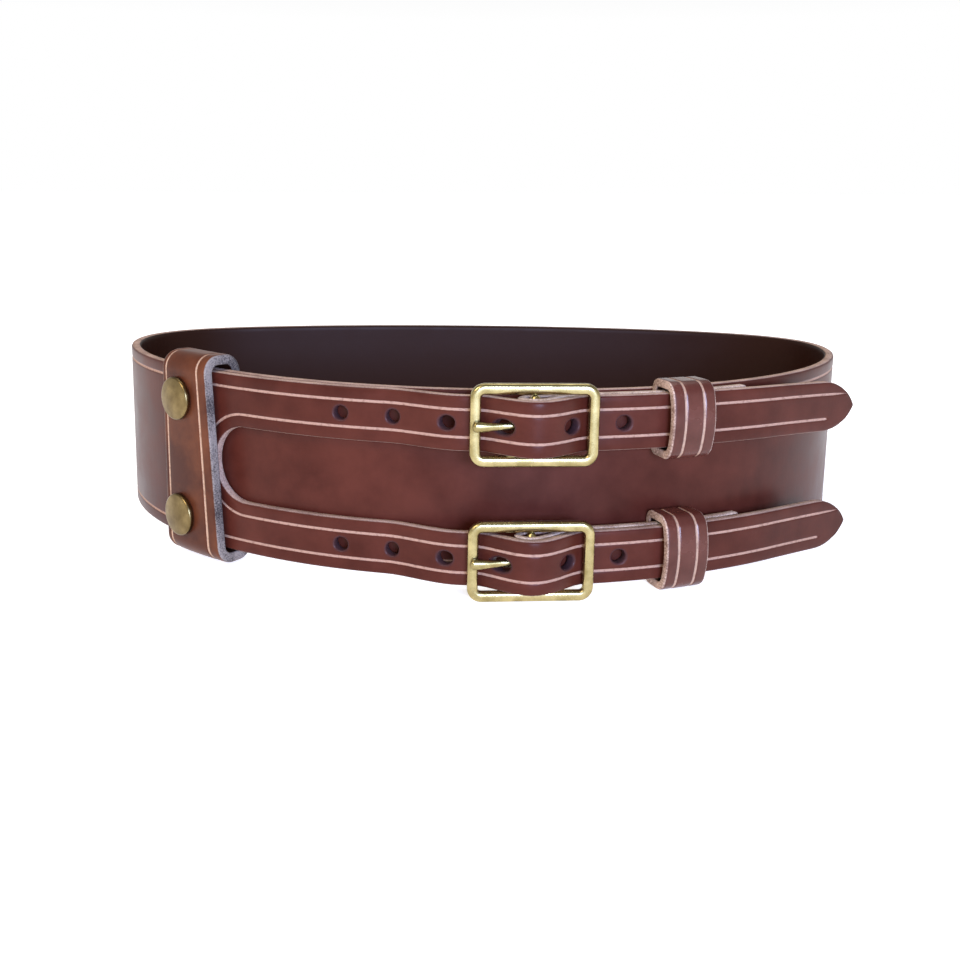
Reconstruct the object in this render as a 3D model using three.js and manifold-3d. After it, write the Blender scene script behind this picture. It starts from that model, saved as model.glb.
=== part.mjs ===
// A wide two-strap waist belt of harness leather, buckled and standing on its edge as a closed oval.
// Millimetres, +Z up, +X to the right, -Y to the front where the two buckles are.
import * as THREE from 'three';
import * as BufferGeometryUtils from 'three/addons/utils/BufferGeometryUtils.js';
import Module from 'manifold-3d';

const wasm = await Module();
wasm.setup();

// The loop, measured over the outside of the band
const loopWidth = 320;
const loopDepth = 192;
const cornerFullness = 0.038;
const frontFullness = 0.161;

// Leather
const bandHeight = 70;
const leather = 4;
const strapHeight = 20;
const edgeBevel = 0.6;
const layerGap = 0.3;

// Where things lie, as lengths along the loop from the middle of the front, right is positive
const buckleAt = 5.5;
const smallKeeperAt = 59.5;
const chapeEndAt = 88;
const tipLeavesAt = 103;
const tipFree = 46;
const droopFrom = 70;
const wideKeeperAt = -130;
const studAt = -132.5;
const liftStartsAt = -46;

// Buckles
const buckleWidth = 46;
const buckleHeight = 30;
const buckleBar = 4;
const buckleCorner = 5;
const centreBar = 3.4;
const foldLeaf = 3;
const foldSlack = 1;
const prongWidth = 3;
const prongThickness = 2.6;
const prongEye = 1.8;
const prongFree = 0.5;
const prongSlotWidth = 4.4;

// Punched holes
const holeDiameter = 5.2;
const holePitch = 19.7;
const prongHoleReach = 8.7;
const holesBeforeProng = 3;
const holesAfterProng = 2;
const tipLength = 20;
const tipNose = 1.6;

// Keepers
const smallKeeperWidth = 16;
const smallKeeperLeather = 3.2;
const smallKeeperSlack = 1.2;
const smallKeeperCrown = 2.5;
const smallKeeperBend = 1.2;
const wideKeeperWidth = 25;
const wideKeeperLeather = 4;
const wideKeeperSlackBelow = 1.8;
const wideKeeperSlackAbove = 2.3;
const wideKeeperSlackOut = 1.6;
const wideKeeperBend = 3.2;
const wideKeeperFlare = 6;
const underlapTail = 18;
const lapClear = 60;
const lapRun = 90;
const slotRootCover = 1;

// Studs on the wide keeper, and rivets hidden under the small keepers
const capDiameter = 17;
const capHeight = 4;
const capSpacing = 47;
const postDiameter = 4;
const flangeDiameter = 11;
const flangeThickness = 0.9;
const rivetHeadDiameter = 9;
const rivetPost = 4;

// Offsets of the leather layers, from the middle of the band outwards
const layerStep = leather + layerGap;
const chapeStandOff = leather + smallKeeperLeather + 2 * layerGap;
const strapOverChape = chapeStandOff + layerStep;
const loopHalfWidth = (loopWidth - leather) / 2;
const loopHalfDepth = (loopDepth - leather) / 2;
const frontRadius = (loopHalfWidth * (1 + 4 * cornerFullness)) ** 2
  / (loopHalfDepth * (1 + 8 * cornerFullness + 4 * frontFullness));

// The buckle is flat and the front is curved, so its side bars stand a little further out than its middle
const barReach = (buckleWidth - buckleBar) / 2;
const barInside = buckleWidth / 2 - buckleBar;
const barSag = barReach ** 2 / (2 * (frontRadius + strapOverChape));
const frameOut = strapOverChape + leather / 2 + layerGap + buckleBar / 2 - barSag;
const foldReach = centreBar / 2 + layerGap + foldLeaf;
const bulgeOut = frameOut + foldReach + layerGap + leather / 2;

// Places that follow from the sizes above
const rivetAt = smallKeeperAt;
const wideKeeperInside = layerStep + leather / 2 + wideKeeperSlackOut;
const wideKeeperFace = wideKeeperInside + wideKeeperLeather;

// The two straps, the height of the stud in line with each, and how far its free end hangs at the tip
const upper = { name: 'upper', low: bandHeight - strapHeight, stud: (bandHeight + capSpacing) / 2, droop: 3 };
const lower = { name: 'lower', low: 0, stud: (bandHeight - capSpacing) / 2, droop: 2 };
const rows = [upper, lower];
const strapMiddle = (row) => row.low + strapHeight / 2;

// Materials
const leatherBrown = new THREE.MeshStandardMaterial({ color: 0x5a3026, roughness: 0.5 });
const keeperBrown = new THREE.MeshStandardMaterial({ color: 0x6d3a26, roughness: 0.5 });
const antiqueBrass = new THREE.MeshStandardMaterial({ color: 0x9c8a4c, roughness: 0.35, metalness: 1 });

// The oval: an ellipse with fuller corners, deeper in front than behind, walked by its length
const ovalSteps = 720;
const ovalAngle = (i) => (2 * Math.PI * i) / ovalSteps;

function ovalPoint(angle) {
  const across = (1 + cornerFullness) * Math.sin(angle) + cornerFullness * Math.sin(3 * angle);
  const forwards = (1 - cornerFullness) * Math.cos(angle) + cornerFullness * Math.cos(3 * angle)
    + frontFullness * Math.cos(2 * angle);
  return [loopHalfWidth * across, -loopHalfDepth * forwards];
}

function ovalNormal(angle) {
  const across = (1 + cornerFullness) * Math.cos(angle) + 3 * cornerFullness * Math.cos(3 * angle);
  const forwards = -(1 - cornerFullness) * Math.sin(angle) - 3 * cornerFullness * Math.sin(3 * angle)
    - 2 * frontFullness * Math.sin(2 * angle);
  const normal = [-loopHalfDepth * forwards, -loopHalfWidth * across];
  const size = Math.hypot(...normal);
  return [normal[0] / size, normal[1] / size];
}

const ovalLengths = [0];
for (let i = 1; i <= ovalSteps; i += 1) {
  const [x0, y0] = ovalPoint(ovalAngle(i - 1));
  const [x1, y1] = ovalPoint(ovalAngle(i));
  ovalLengths.push(ovalLengths[i - 1] + Math.hypot(x1 - x0, y1 - y0));
}
const loopLength = ovalLengths[ovalSteps];

function ovalAngleAt(length) {
  const turns = Math.floor(length / loopLength);
  const rest = length - turns * loopLength;
  let i = ovalLengths.findIndex((sum) => sum > rest) - 1;
  i = Math.min(Math.max(i, 0), ovalSteps - 1);
  const part = (rest - ovalLengths[i]) / (ovalLengths[i + 1] - ovalLengths[i]);
  return ovalAngle(i + part) + 2 * Math.PI * turns;
}

// A plan point that lies a distance outwards of the oval
function beside(length, out) {
  const angle = ovalAngleAt(length);
  const [x, y] = ovalPoint(angle);
  const [nx, ny] = ovalNormal(angle);
  return [x + nx * out, y + ny * out];
}

// Rows of a length and an offset, joined by smooth steps
function smoothTable(places) {
  return (length) => {
    if (length <= places[0].at) return places[0].out;
    const next = places.findIndex((place) => place.at > length);
    if (next < 0) return places[places.length - 1].out;
    const before = places[next - 1];
    const after = places[next];
    const part = (length - before.at) / (after.at - before.at);
    return before.out + (after.out - before.out) * part * part * (3 - 2 * part);
  };
}

// How far out the band lies as it goes once round and comes back over its own end as the two straps
const underlapEnd = wideKeeperAt - wideKeeperWidth / 2 - underlapTail;
const lapFull = loopLength + underlapEnd - lapClear;
const bandOut = smoothTable([
  { at: lapFull - lapRun, out: 0 },
  { at: lapFull, out: layerStep },
  { at: loopLength + liftStartsAt, out: layerStep },
  { at: loopLength + buckleAt - buckleWidth / 2, out: strapOverChape },
  { at: loopLength + buckleAt - barInside, out: strapOverChape },
  { at: loopLength + buckleAt, out: bulgeOut },
  { at: loopLength + buckleAt + barInside, out: strapOverChape },
]);

const straightFrom = loopLength + tipLeavesAt;
const tipEnd = straightFrom + tipFree;

// Plan point of the band's middle layer: round the oval, then straight on where the straps leave it
function bandPoint(length) {
  if (length <= straightFrom) return beside(length, bandOut(length));
  const [x, y] = beside(straightFrom, bandOut(straightFrom));
  const [dx, dy] = tangent(bandPoint, straightFrom - 1);
  return [x + dx * (length - straightFrom), y + dy * (length - straightFrom)];
}

const loopPath = (length) => beside(length, 0);

// Middle of the short strap under a buckle: it follows the long strap that lies on it
const chapePoint = (length) => offPath(bandPoint, loopLength + length, -layerStep);

function tangent(path, length) {
  const reach = 0.4;
  const [x0, y0] = path(length - reach);
  const [x1, y1] = path(length + reach);
  const size = Math.hypot(x1 - x0, y1 - y0);
  return [(x1 - x0) / size, (y1 - y0) / size];
}

// A plan point that lies a distance outwards of a path, square to it
function offPath(path, length, out) {
  const [x, y] = path(length);
  const [dx, dy] = tangent(path, length);
  return [x + dy * out, y - dx * out];
}

// Lengths from one place to another with steps no longer than asked
function stations(from, to, step) {
  const count = Math.max(1, Math.ceil((to - from) / step));
  return Array.from({ length: count + 1 }, (_, i) => from + ((to - from) * i) / count);
}

// A closed mesh from rows of points: each row is a closed ring, and the first and last rows are filled
function ringMesh(rings, capIndices) {
  const count = rings[0].length;
  const positions = rings.flat(2);
  const indices = [];
  for (let i = 0; i + 1 < rings.length; i += 1) {
    for (let j = 0; j < count; j += 1) {
      const a = i * count + j;
      const b = i * count + ((j + 1) % count);
      indices.push(a, a + count, b, b, a + count, b + count);
    }
  }
  const last = (rings.length - 1) * count;
  for (const [a, b, c] of capIndices) {
    indices.push(a, b, c);
    indices.push(last + a, last + c, last + b);
  }
  const geometry = new THREE.BufferGeometry();
  geometry.setAttribute('position', new THREE.Float32BufferAttribute(positions, 3));
  geometry.setIndex(indices);
  return geometry;
}

// A strip of leather along a path: its long edges have a small bevel, and its height may change on the way
function strip({ path, lengths, thickness, low, high, bevel }) {
  const half = thickness / 2;
  const rings = lengths.map((length) => {
    const z0 = low(length);
    const z1 = high(length);
    const section = [
      [half, z0 + bevel],
      [half, z1 - bevel],
      [half - bevel, z1],
      [bevel - half, z1],
      [-half, z1 - bevel],
      [-half, z0 + bevel],
      [bevel - half, z0],
      [half - bevel, z0],
    ];
    return section.map(([out, z]) => [...offPath(path, length, out), z]);
  });
  const caps = [];
  for (let i = 1; i < 7; i += 1) caps.push([0, i, i + 1]);
  return ringMesh(rings, caps);
}

// A rounded rectangle in a section: out is across the belt, z is up. The outer side may have more points.
function roundedRectangle(outMiddle, outHalf, zMiddle, zHalf, radius, steps, sideSteps = 1) {
  const corners = [
    [outMiddle + outHalf - radius, zMiddle - zHalf + radius, -90],
    [outMiddle + outHalf - radius, zMiddle + zHalf - radius, 0],
    [outMiddle - outHalf + radius, zMiddle + zHalf - radius, 90],
    [outMiddle - outHalf + radius, zMiddle - zHalf + radius, 180],
  ];
  const points = [];
  for (const [out, z, start] of corners) {
    for (let i = 0; i <= steps; i += 1) {
      const angle = THREE.MathUtils.degToRad(start + (90 * i) / steps);
      points.push([out + radius * Math.cos(angle), z + radius * Math.sin(angle)]);
    }
  }
  const side = Array.from({ length: sideSteps - 1 }, (_, i) => {
    const part = (2 * (i + 1)) / sideSteps - 1;
    return [outMiddle + outHalf, zMiddle + part * (zHalf - radius)];
  });
  points.splice(steps + 1, 0, ...side);
  return points;
}

// A leather loop round the straps: one rounded ring section with a hole, carried along a path.
// Its outer side may be crowned, so that it stands further out in the middle than at its bends.
// Its right edge may flare, so that the loop is wider at the bottom than at the top.
function keeperLoop({ path, middle, width, inner, leaf, bend, crown = 0, flare = 0 }) {
  const steps = 4;
  const sideSteps = crown > 0 ? 8 : 1;
  const crowned = ([out, z]) => {
    const side = Math.min(Math.max((out - inner.out) / inner.outHalf, 0), 1);
    const height = Math.max(1 - ((z - inner.z) / (inner.zHalf + leaf)) ** 2, 0);
    return [out + crown * side * height, z];
  };
  const ring = (grow) => roundedRectangle(
    inner.out, inner.outHalf + grow, inner.z, inner.zHalf + grow, bend + grow, steps, sideSteps).map(crowned);
  const hole = ring(0);
  const outside = ring(leaf);
  const lengths = stations(middle - width / 2, middle + width / 2, 8);
  const count = hole.length;
  const positions = [];
  for (const length of lengths) {
    const share = (length - lengths[0]) / width;
    for (const [out, z] of [...outside, ...hole]) {
      const low = 0.5 - (z - inner.z) / (2 * (inner.zHalf + leaf));
      positions.push(...offPath(path, length + flare * share * low, out), z);
    }
  }
  const indices = [];
  const quad = (a, b, c, d) => indices.push(a, b, c, a, c, d);
  for (let j = 0; j < count; j += 1) {
    const k = (j + 1) % count;
    for (let i = 0; i + 1 < lengths.length; i += 1) {
      const here = i * 2 * count;
      const there = here + 2 * count;
      quad(here + j, there + j, there + k, here + k);
      quad(here + count + k, there + count + k, there + count + j, here + count + j);
    }
    const end = (lengths.length - 1) * 2 * count;
    quad(j, k, count + k, count + j);
    quad(end + count + j, end + count + k, end + k, end + j);
  }
  const geometry = new THREE.BufferGeometry();
  geometry.setAttribute('position', new THREE.Float32BufferAttribute(positions, 3));
  geometry.setIndex(indices);
  return geometry;
}

// Solids for cutting and joining
function toSolid(geometry) {
  const plain = geometry.clone();
  plain.deleteAttribute('normal');
  plain.deleteAttribute('uv');
  const merged = BufferGeometryUtils.mergeVertices(plain, 1e-4);
  return new wasm.Manifold(new wasm.Mesh({
    numProp: 3,
    vertProperties: new Float32Array(merged.attributes.position.array),
    triVerts: new Uint32Array(merged.index.array),
  }));
}

function toGeometry(solid) {
  const mesh = solid.getMesh();
  const geometry = new THREE.BufferGeometry();
  geometry.setAttribute('position', new THREE.BufferAttribute(new Float32Array(mesh.vertProperties), 3));
  geometry.setIndex(new THREE.BufferAttribute(new Uint32Array(mesh.triVerts), 1));
  return geometry;
}

function cutAway(geometry, cutters) {
  const rest = cutters.reduce((solid, cutter) => solid.subtract(toSolid(cutter)), toSolid(geometry));
  return toGeometry(rest);
}

// Puts a geometry whose own +Z points out of the belt at a place on a path
function facing(geometry, path, length, out, z) {
  const [x, y] = offPath(path, length, out);
  const [dx, dy] = tangent(path, length);
  const along = new THREE.Vector3(dx, dy, 0);
  const up = new THREE.Vector3(0, 0, 1);
  const outwards = new THREE.Vector3(dy, -dx, 0);
  const turn = new THREE.Matrix4().makeBasis(along, up, outwards);
  return geometry.applyMatrix4(turn.setPosition(x, y, z));
}

// A round body turned about the outward direction, from rows of radius and height
function turned(profile, segments) {
  const points = profile.map(([radius, height]) => new THREE.Vector2(radius, height));
  return new THREE.LatheGeometry(points, segments).rotateX(Math.PI / 2);
}

function pin(radius, from, to, segments = 16) {
  return turned([[0, from], [radius, from], [radius, to], [0, to]], segments);
}

// The band, forked into two straps by a long slot with a round root
const slotRootAt = loopLength + wideKeeperAt + wideKeeperWidth / 2 - slotRootCover;
const slotRadius = (bandHeight - 2 * strapHeight) / 2;

function slotHalfHeight(length) {
  const deep = Math.min(length - slotRootAt, slotRadius);
  const round = Math.sqrt(Math.max(slotRadius ** 2 - (slotRadius - deep) ** 2, 0.04));
  return round + tipTaper(length);
}

// The pointed end of a strap: how much each edge has drawn in towards the middle
function tipTaper(length) {
  const part = Math.min(Math.max((length - (tipEnd - tipLength)) / tipLength, 0), 1);
  return ((strapHeight - tipNose) / 2) * part ** 1.8;
}

// The free end of a strap hangs more and more towards its tip
function droop(row, length) {
  const start = loopLength + droopFrom;
  return row.droop * Math.max((length - start) / (tipEnd - start), 0) ** 1.5;
}

// Both straps bend at the same places where one lies on the other
const foldSteps = stations(buckleAt, buckleAt + barInside, 2);
const tailSteps = stations(buckleAt + barInside, chapeEndAt, 6).slice(1);

function bandLengths() {
  const plain = stations(underlapEnd, lapFull - lapRun, 9);
  const lap = stations(lapFull - lapRun, loopLength + liftStartsAt, 8);
  const lift = [
    ...stations(loopLength + liftStartsAt, loopLength + buckleAt - buckleWidth / 2, 4),
    loopLength + buckleAt - barInside,
    ...stations(loopLength + buckleAt - barInside, loopLength + buckleAt, 2).slice(1),
  ];
  const overChape = [...foldSteps.slice(1), ...tailSteps].map((length) => loopLength + length);
  const rest = stations(loopLength + chapeEndAt, tipEnd - tipLength, 7);
  const tip = stations(tipEnd - tipLength, tipEnd, 2.5);
  return [plain, lap.slice(1), lift.slice(1), overChape, rest.slice(1), tip.slice(1)].flat();
}

function slotCutter() {
  const quarter = stations(0, Math.PI / 2, Math.PI / 16);
  const root = quarter.map((angle) => slotRootAt + slotRadius * (1 - Math.cos(angle)));
  const along = bandLengths().filter((length) => length > slotRootAt + slotRadius + 1);
  const lengths = [...root, ...along, tipEnd + 4];
  return strip({
    path: bandPoint,
    lengths,
    thickness: leather + 3,
    low: (length) => bandHeight / 2 - slotHalfHeight(length) - droop(lower, length),
    high: (length) => bandHeight / 2 + slotHalfHeight(length) - droop(upper, length),
    bevel: 0,
  });
}

function holeCutters(row) {
  const first = loopLength + buckleAt - prongHoleReach - holesBeforeProng * holePitch;
  const count = holesBeforeProng + 1 + holesAfterProng;
  return Array.from({ length: count }, (_, i) => {
    const hole = pin(holeDiameter / 2, -leather, leather, 12);
    return facing(hole, bandPoint, first + i * holePitch, 0, strapMiddle(row));
  });
}

// The hole that the prong holds is pulled long by it
const prongArmPoints = (grow) => {
  const rest = buckleBar / 2 + layerGap - grow;
  const top = rest + prongThickness + 2 * grow;
  const tip = barReach + buckleBar / 2 + 0.4 + grow;
  const eye = centreBar / 2 + layerGap;
  return [[-eye, -0.6 - grow], [-barReach + 2, rest], [-tip, rest], [-tip, top - 0.8], [-tip + 1, top],
    [-barReach + 2, top], [-eye, prongThickness - 0.6 + grow]];
};

const planShape = (points) => new THREE.Shape(points.map(([x, y]) => new THREE.Vector2(x, y)));

// A flat outline drawn along the belt and outwards, given a height, then stood up for facing()
function plank(shape, height) {
  const body = new THREE.ExtrudeGeometry(shape, { depth: height, bevelEnabled: false, curveSegments: 8 });
  return body.translate(0, 0, -height / 2).rotateX(Math.PI / 2);
}

function atBuckle(geometry, row) {
  return facing(geometry, loopPath, buckleAt, frameOut, strapMiddle(row));
}

function prongClearance(row) {
  return atBuckle(plank(planShape(prongArmPoints(prongFree)), prongWidth + 2 * prongFree), row);
}

function studCutters(row) {
  const at = loopLength + studAt;
  const hole = facing(pin(postDiameter / 2 + layerGap, -leather, leather), bandPoint, at, 0, row.stud);
  const recessTop = flangeThickness + 2 * layerGap - leather / 2;
  const recess = pin(flangeDiameter / 2 + layerGap, -leather, recessTop, 20);
  return [hole, facing(recess, bandPoint, at, 0, row.stud)];
}

function rivetCutters(path, row, side) {
  const hole = pin(rivetPost / 2 + layerGap, -leather, leather, 12);
  const depth = flangeThickness + layerGap;
  const from = side > 0 ? leather / 2 - depth : -leather;
  const to = side > 0 ? leather : depth - leather / 2;
  const recess = pin(rivetHeadDiameter / 2 + layerGap, from, to, 16);
  return [hole, recess].map((cutter) => facing(cutter, path, rivetAt, 0, strapMiddle(row)));
}

function beltBand() {
  const body = strip({
    path: bandPoint,
    lengths: bandLengths(),
    thickness: leather,
    low: (length) => tipTaper(length) - droop(lower, length),
    high: (length) => bandHeight - tipTaper(length) - droop(upper, length),
    bevel: edgeBevel,
  });
  const cutters = rows.flatMap((row) => [
    ...holeCutters(row), prongClearance(row), ...studCutters(row), ...rivetCutters(bandPoint, row, -1)]);
  return cutAway(body, [slotCutter(), ...cutters]);
}

// The short strap that holds a buckle: it folds round the middle bar and runs back under the long strap
function chape(row) {
  const front = [...foldSteps, ...tailSteps].map((length) => offPath(chapePoint, length, leather / 2));
  const foldBack = smoothTable([
    { at: buckleAt, out: frameOut - foldReach },
    { at: buckleAt + barInside, out: chapeStandOff - leather / 2 },
  ]);
  const back = [
    ...tailSteps.slice().reverse().map((length) => offPath(chapePoint, length, -leather / 2)),
    ...foldSteps.slice().reverse().map((length) => beside(length, foldBack(length))),
  ];
  const foldEnd = foldReach + foldSlack;
  const round = Array.from({ length: 9 }, (_, i) => {
    const angle = Math.PI / 2 + (Math.PI * (9 - i)) / 10;
    return beside(buckleAt + foldEnd * Math.cos(angle), frameOut + foldReach * Math.sin(angle));
  });
  const shape = planShape([...front, ...back, ...round]);
  const eye = Array.from({ length: 16 }, (_, i) => {
    const angle = (-2 * Math.PI * i) / 16;
    const along = (centreBar / 2 + layerGap + foldSlack) * Math.cos(angle);
    return beside(buckleAt + along, frameOut + (centreBar / 2 + layerGap) * Math.sin(angle));
  });
  shape.holes.push(new THREE.Path(eye.map(([x, y]) => new THREE.Vector2(x, y))));
  const body = new THREE.ExtrudeGeometry(shape, { depth: strapHeight, bevelEnabled: false });
  body.translate(0, 0, row.low);
  const notchRight = centreBar / 2 + layerGap + prongEye + 0.5;
  const notchLeft = foldEnd + 2;
  const notch = new THREE.BoxGeometry(notchRight + notchLeft, prongSlotWidth, 4 * foldReach);
  notch.translate((notchRight - notchLeft) / 2, 0, 0);
  return cutAway(body, [atBuckle(notch, row), ...rivetCutters(chapePoint, row, 1)]);
}

// A rectangular frame with round corners and a middle bar
function roundedRectangleShape(width, height, corner) {
  const outline = roundedRectangle(0, width / 2, 0, height / 2, corner, 5);
  return planShape(outline);
}

function buckle(row) {
  const bevel = buckleBar * 0.22;
  const shape = roundedRectangleShape(buckleWidth, buckleHeight, buckleCorner);
  const opening = roundedRectangle(
    0, buckleWidth / 2 - buckleBar, 0, buckleHeight / 2 - buckleBar, buckleCorner - buckleBar * 0.6, 5);
  shape.holes.push(new THREE.Path(opening.reverse().map(([x, y]) => new THREE.Vector2(x, y))));
  const frame = new THREE.ExtrudeGeometry(shape, {
    depth: buckleBar - 2 * bevel,
    bevelThickness: bevel,
    bevelSize: bevel,
    bevelOffset: -bevel,
    bevelSegments: 2,
  });
  frame.translate(0, 0, bevel - buckleBar / 2);
  const bar = new THREE.CylinderGeometry(centreBar / 2, centreBar / 2, buckleHeight - buckleBar, 14);
  return atBuckle(toGeometry(toSolid(frame).add(toSolid(bar))), row);
}

// The prong: an eye round the middle bar and an arm that comes out of a hole and rests on the side bar
function prong(row) {
  const eyeOuter = centreBar / 2 + layerGap + prongEye;
  const round = (radius) => new THREE.Shape().absarc(0, 0, radius, 0, 2 * Math.PI, false);
  const eye = plank(round(eyeOuter), prongWidth);
  const arm = plank(planShape(prongArmPoints(0)), prongWidth);
  const hole = plank(round(centreBar / 2 + layerGap), 2 * prongWidth);
  const body = toSolid(eye).add(toSolid(arm)).subtract(toSolid(hole));
  return atBuckle(toGeometry(body), row);
}

function strapKeeper(row) {
  const innerFace = chapeStandOff - leather / 2;
  const outerFace = strapOverChape + leather / 2;
  const loop = keeperLoop({
    path: loopPath,
    middle: smallKeeperAt,
    width: smallKeeperWidth,
    inner: {
      out: (innerFace + outerFace) / 2,
      outHalf: (outerFace - innerFace) / 2 + layerGap,
      z: strapMiddle(row),
      zHalf: strapHeight / 2 + smallKeeperSlack,
    },
    leaf: smallKeeperLeather,
    bend: smallKeeperBend,
    crown: smallKeeperCrown,
  });
  const hole = pin(rivetPost / 2 + layerGap, leather / 2, chapeStandOff - leather / 2, 12);
  return cutAway(loop, [facing(hole, loopPath, rivetAt, 0, strapMiddle(row))]);
}

function wideKeeper() {
  const back = -leather / 2 - layerGap;
  const loop = keeperLoop({
    path: loopPath,
    middle: wideKeeperAt,
    width: wideKeeperWidth,
    inner: {
      out: (back + wideKeeperInside) / 2,
      outHalf: (wideKeeperInside - back) / 2,
      z: (bandHeight + wideKeeperSlackAbove - wideKeeperSlackBelow) / 2,
      zHalf: (bandHeight + wideKeeperSlackAbove + wideKeeperSlackBelow) / 2,
    },
    leaf: wideKeeperLeather,
    bend: wideKeeperBend,
    flare: wideKeeperFlare,
  });
  const holes = rows.map((row) => {
    const hole = pin(postDiameter / 2 + layerGap, layerStep, wideKeeperFace + 2);
    return facing(hole, loopPath, studAt, 0, row.stud);
  });
  return cutAway(loop, holes);
}

// A domed cap on a post, with a flat foot let into the inside of the band
function stud(row) {
  const foot = layerStep - leather / 2 + layerGap;
  const under = wideKeeperFace + layerGap;
  const rim = capHeight * 0.25;
  const dome = Array.from({ length: 6 }, (_, i) => {
    const angle = (Math.PI / 2) * (i / 5);
    return [(capDiameter / 2) * Math.cos(angle), under + rim + (capHeight - rim) * Math.sin(angle)];
  });
  dome[5][0] = 0;
  const profile = [
    [0, foot],
    [flangeDiameter / 2, foot],
    [flangeDiameter / 2, foot + flangeThickness],
    [postDiameter / 2, foot + flangeThickness],
    [postDiameter / 2, under],
    [capDiameter / 2, under],
    ...dome,
  ];
  return facing(turned(profile, 22), loopPath, studAt, 0, row.stud);
}

// A plain flat-headed rivet through the band, the back of the small keeper and the short strap
function strapRivet(row) {
  const foot = -leather / 2;
  const top = chapeStandOff + leather / 2;
  const head = rivetHeadDiameter / 2;
  const profile = [
    [0, foot],
    [head, foot],
    [head, foot + flangeThickness],
    [rivetPost / 2, foot + flangeThickness],
    [rivetPost / 2, top - flangeThickness],
    [head, top - flangeThickness],
    [head, top],
    [0, top],
  ];
  return facing(turned(profile, 16), loopPath, rivetAt, 0, strapMiddle(row));
}

const belt = new THREE.Group();

function add(name, geometry, material) {
  const mesh = new THREE.Mesh(geometry, material);
  mesh.name = name;
  belt.add(mesh);
}

add('belt_band', beltBand(), leatherBrown);
add('wide_keeper', wideKeeper(), keeperBrown);
for (const row of rows) {
  add(`buckle_strap_${row.name}`, chape(row), leatherBrown);
  add(`buckle_${row.name}`, buckle(row), antiqueBrass);
  add(`prong_${row.name}`, prong(row), antiqueBrass);
  add(`strap_keeper_${row.name}`, strapKeeper(row), keeperBrown);
  add(`keeper_stud_${row.name}`, stud(row), antiqueBrass);
  add(`strap_rivet_${row.name}`, strapRivet(row), antiqueBrass);
}

// The lower buckle and the wide keeper reach below the band, so the belt stands on both of them
// and on the band's back edge, and leans by a degree or two
function lowPoint(at, out, z) {
  const [x, y] = offPath(loopPath, at, out);
  return new THREE.Vector3(x, y, z);
}

const keeperFoot = lowPoint(wideKeeperAt, layerStep / 2, -wideKeeperSlackBelow - wideKeeperLeather);
const buckleFoot = lowPoint(buckleAt, frameOut, (strapHeight - buckleHeight) / 2);
const upwards = stations(0.15 * loopLength, 0.75 * loopLength, 5)
  .map((at) => lowPoint(at, leather / 2, 0))
  .map((edge) => new THREE.Plane().setFromCoplanarPoints(keeperFoot, buckleFoot, edge).normal)
  .reduce((best, normal) => (normal.z > best.z ? normal : best));

const standing = new THREE.Group();
standing.add(belt);
belt.quaternion.setFromUnitVectors(upwards, new THREE.Vector3(0, 0, 1));
standing.updateMatrixWorld(true);
const box = new THREE.Box3().setFromObject(standing, true);
const middle = box.getCenter(new THREE.Vector3());
standing.position.set(-middle.x, -middle.y, -box.min.z);

export default standing;
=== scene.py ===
# %% [markdown]
# # A wide leather belt with two straps
#
# The belt is one long strip of thick leather that goes once round the waist. One end is plain and lies
# inside. The other end lies over it and is forked by a long slot into two straps, and each strap goes
# through its own brass buckle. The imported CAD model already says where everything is, so this file only
# makes the surfaces that the eye sees: finer curves, pressed lines, punched holes, cut edges and brass.

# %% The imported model, as a fixed frame
import bpy
import bmesh
import numpy as np
from mathutils import Matrix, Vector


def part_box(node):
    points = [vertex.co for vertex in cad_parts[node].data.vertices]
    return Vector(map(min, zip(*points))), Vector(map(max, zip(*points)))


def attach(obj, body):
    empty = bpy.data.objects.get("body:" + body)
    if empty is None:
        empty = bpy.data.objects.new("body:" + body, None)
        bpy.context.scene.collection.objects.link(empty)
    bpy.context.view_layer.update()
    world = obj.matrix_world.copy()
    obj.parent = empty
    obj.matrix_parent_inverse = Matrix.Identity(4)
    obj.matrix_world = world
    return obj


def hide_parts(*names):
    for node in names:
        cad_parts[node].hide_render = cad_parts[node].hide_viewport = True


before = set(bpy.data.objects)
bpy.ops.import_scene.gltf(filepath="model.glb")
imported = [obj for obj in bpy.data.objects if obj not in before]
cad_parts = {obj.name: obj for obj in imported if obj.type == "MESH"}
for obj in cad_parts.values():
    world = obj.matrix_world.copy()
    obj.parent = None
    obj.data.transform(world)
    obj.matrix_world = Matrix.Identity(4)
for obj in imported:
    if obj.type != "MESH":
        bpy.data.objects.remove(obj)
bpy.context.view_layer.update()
MM = 0.001

# %% [markdown]
# ## The loop seen from above
#
# A belt that stands on its edge makes an oval that is deeper in front than behind. One formula gives the
# oval: an ellipse, with a little of a three times faster wave for fuller corners and a two times faster
# wave that pushes the ends back. Every piece is then placed by three numbers: how far along the loop it
# is, how far out from the leather's middle, and how high. That is why the belt's own sizes come first.

# %% Sizes of the belt, in millimetres
loop_half_width = 158.0
loop_half_depth = 94.0
corner_fullness = 0.038
front_fullness = 0.161
band_height = 70.0
leather = 4.0
strap_height = 20.0
layer_gap = 0.3
layer_step = leather + layer_gap
slot_radius = (band_height - 2 * strap_height) / 2
strap_lows = {"upper": band_height - strap_height, "lower": 0.0}
strap_middles = {name: low + strap_height / 2 for name, low in strap_lows.items()}
print("the slot between the straps is", 2 * slot_radius, "mm high")

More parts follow.
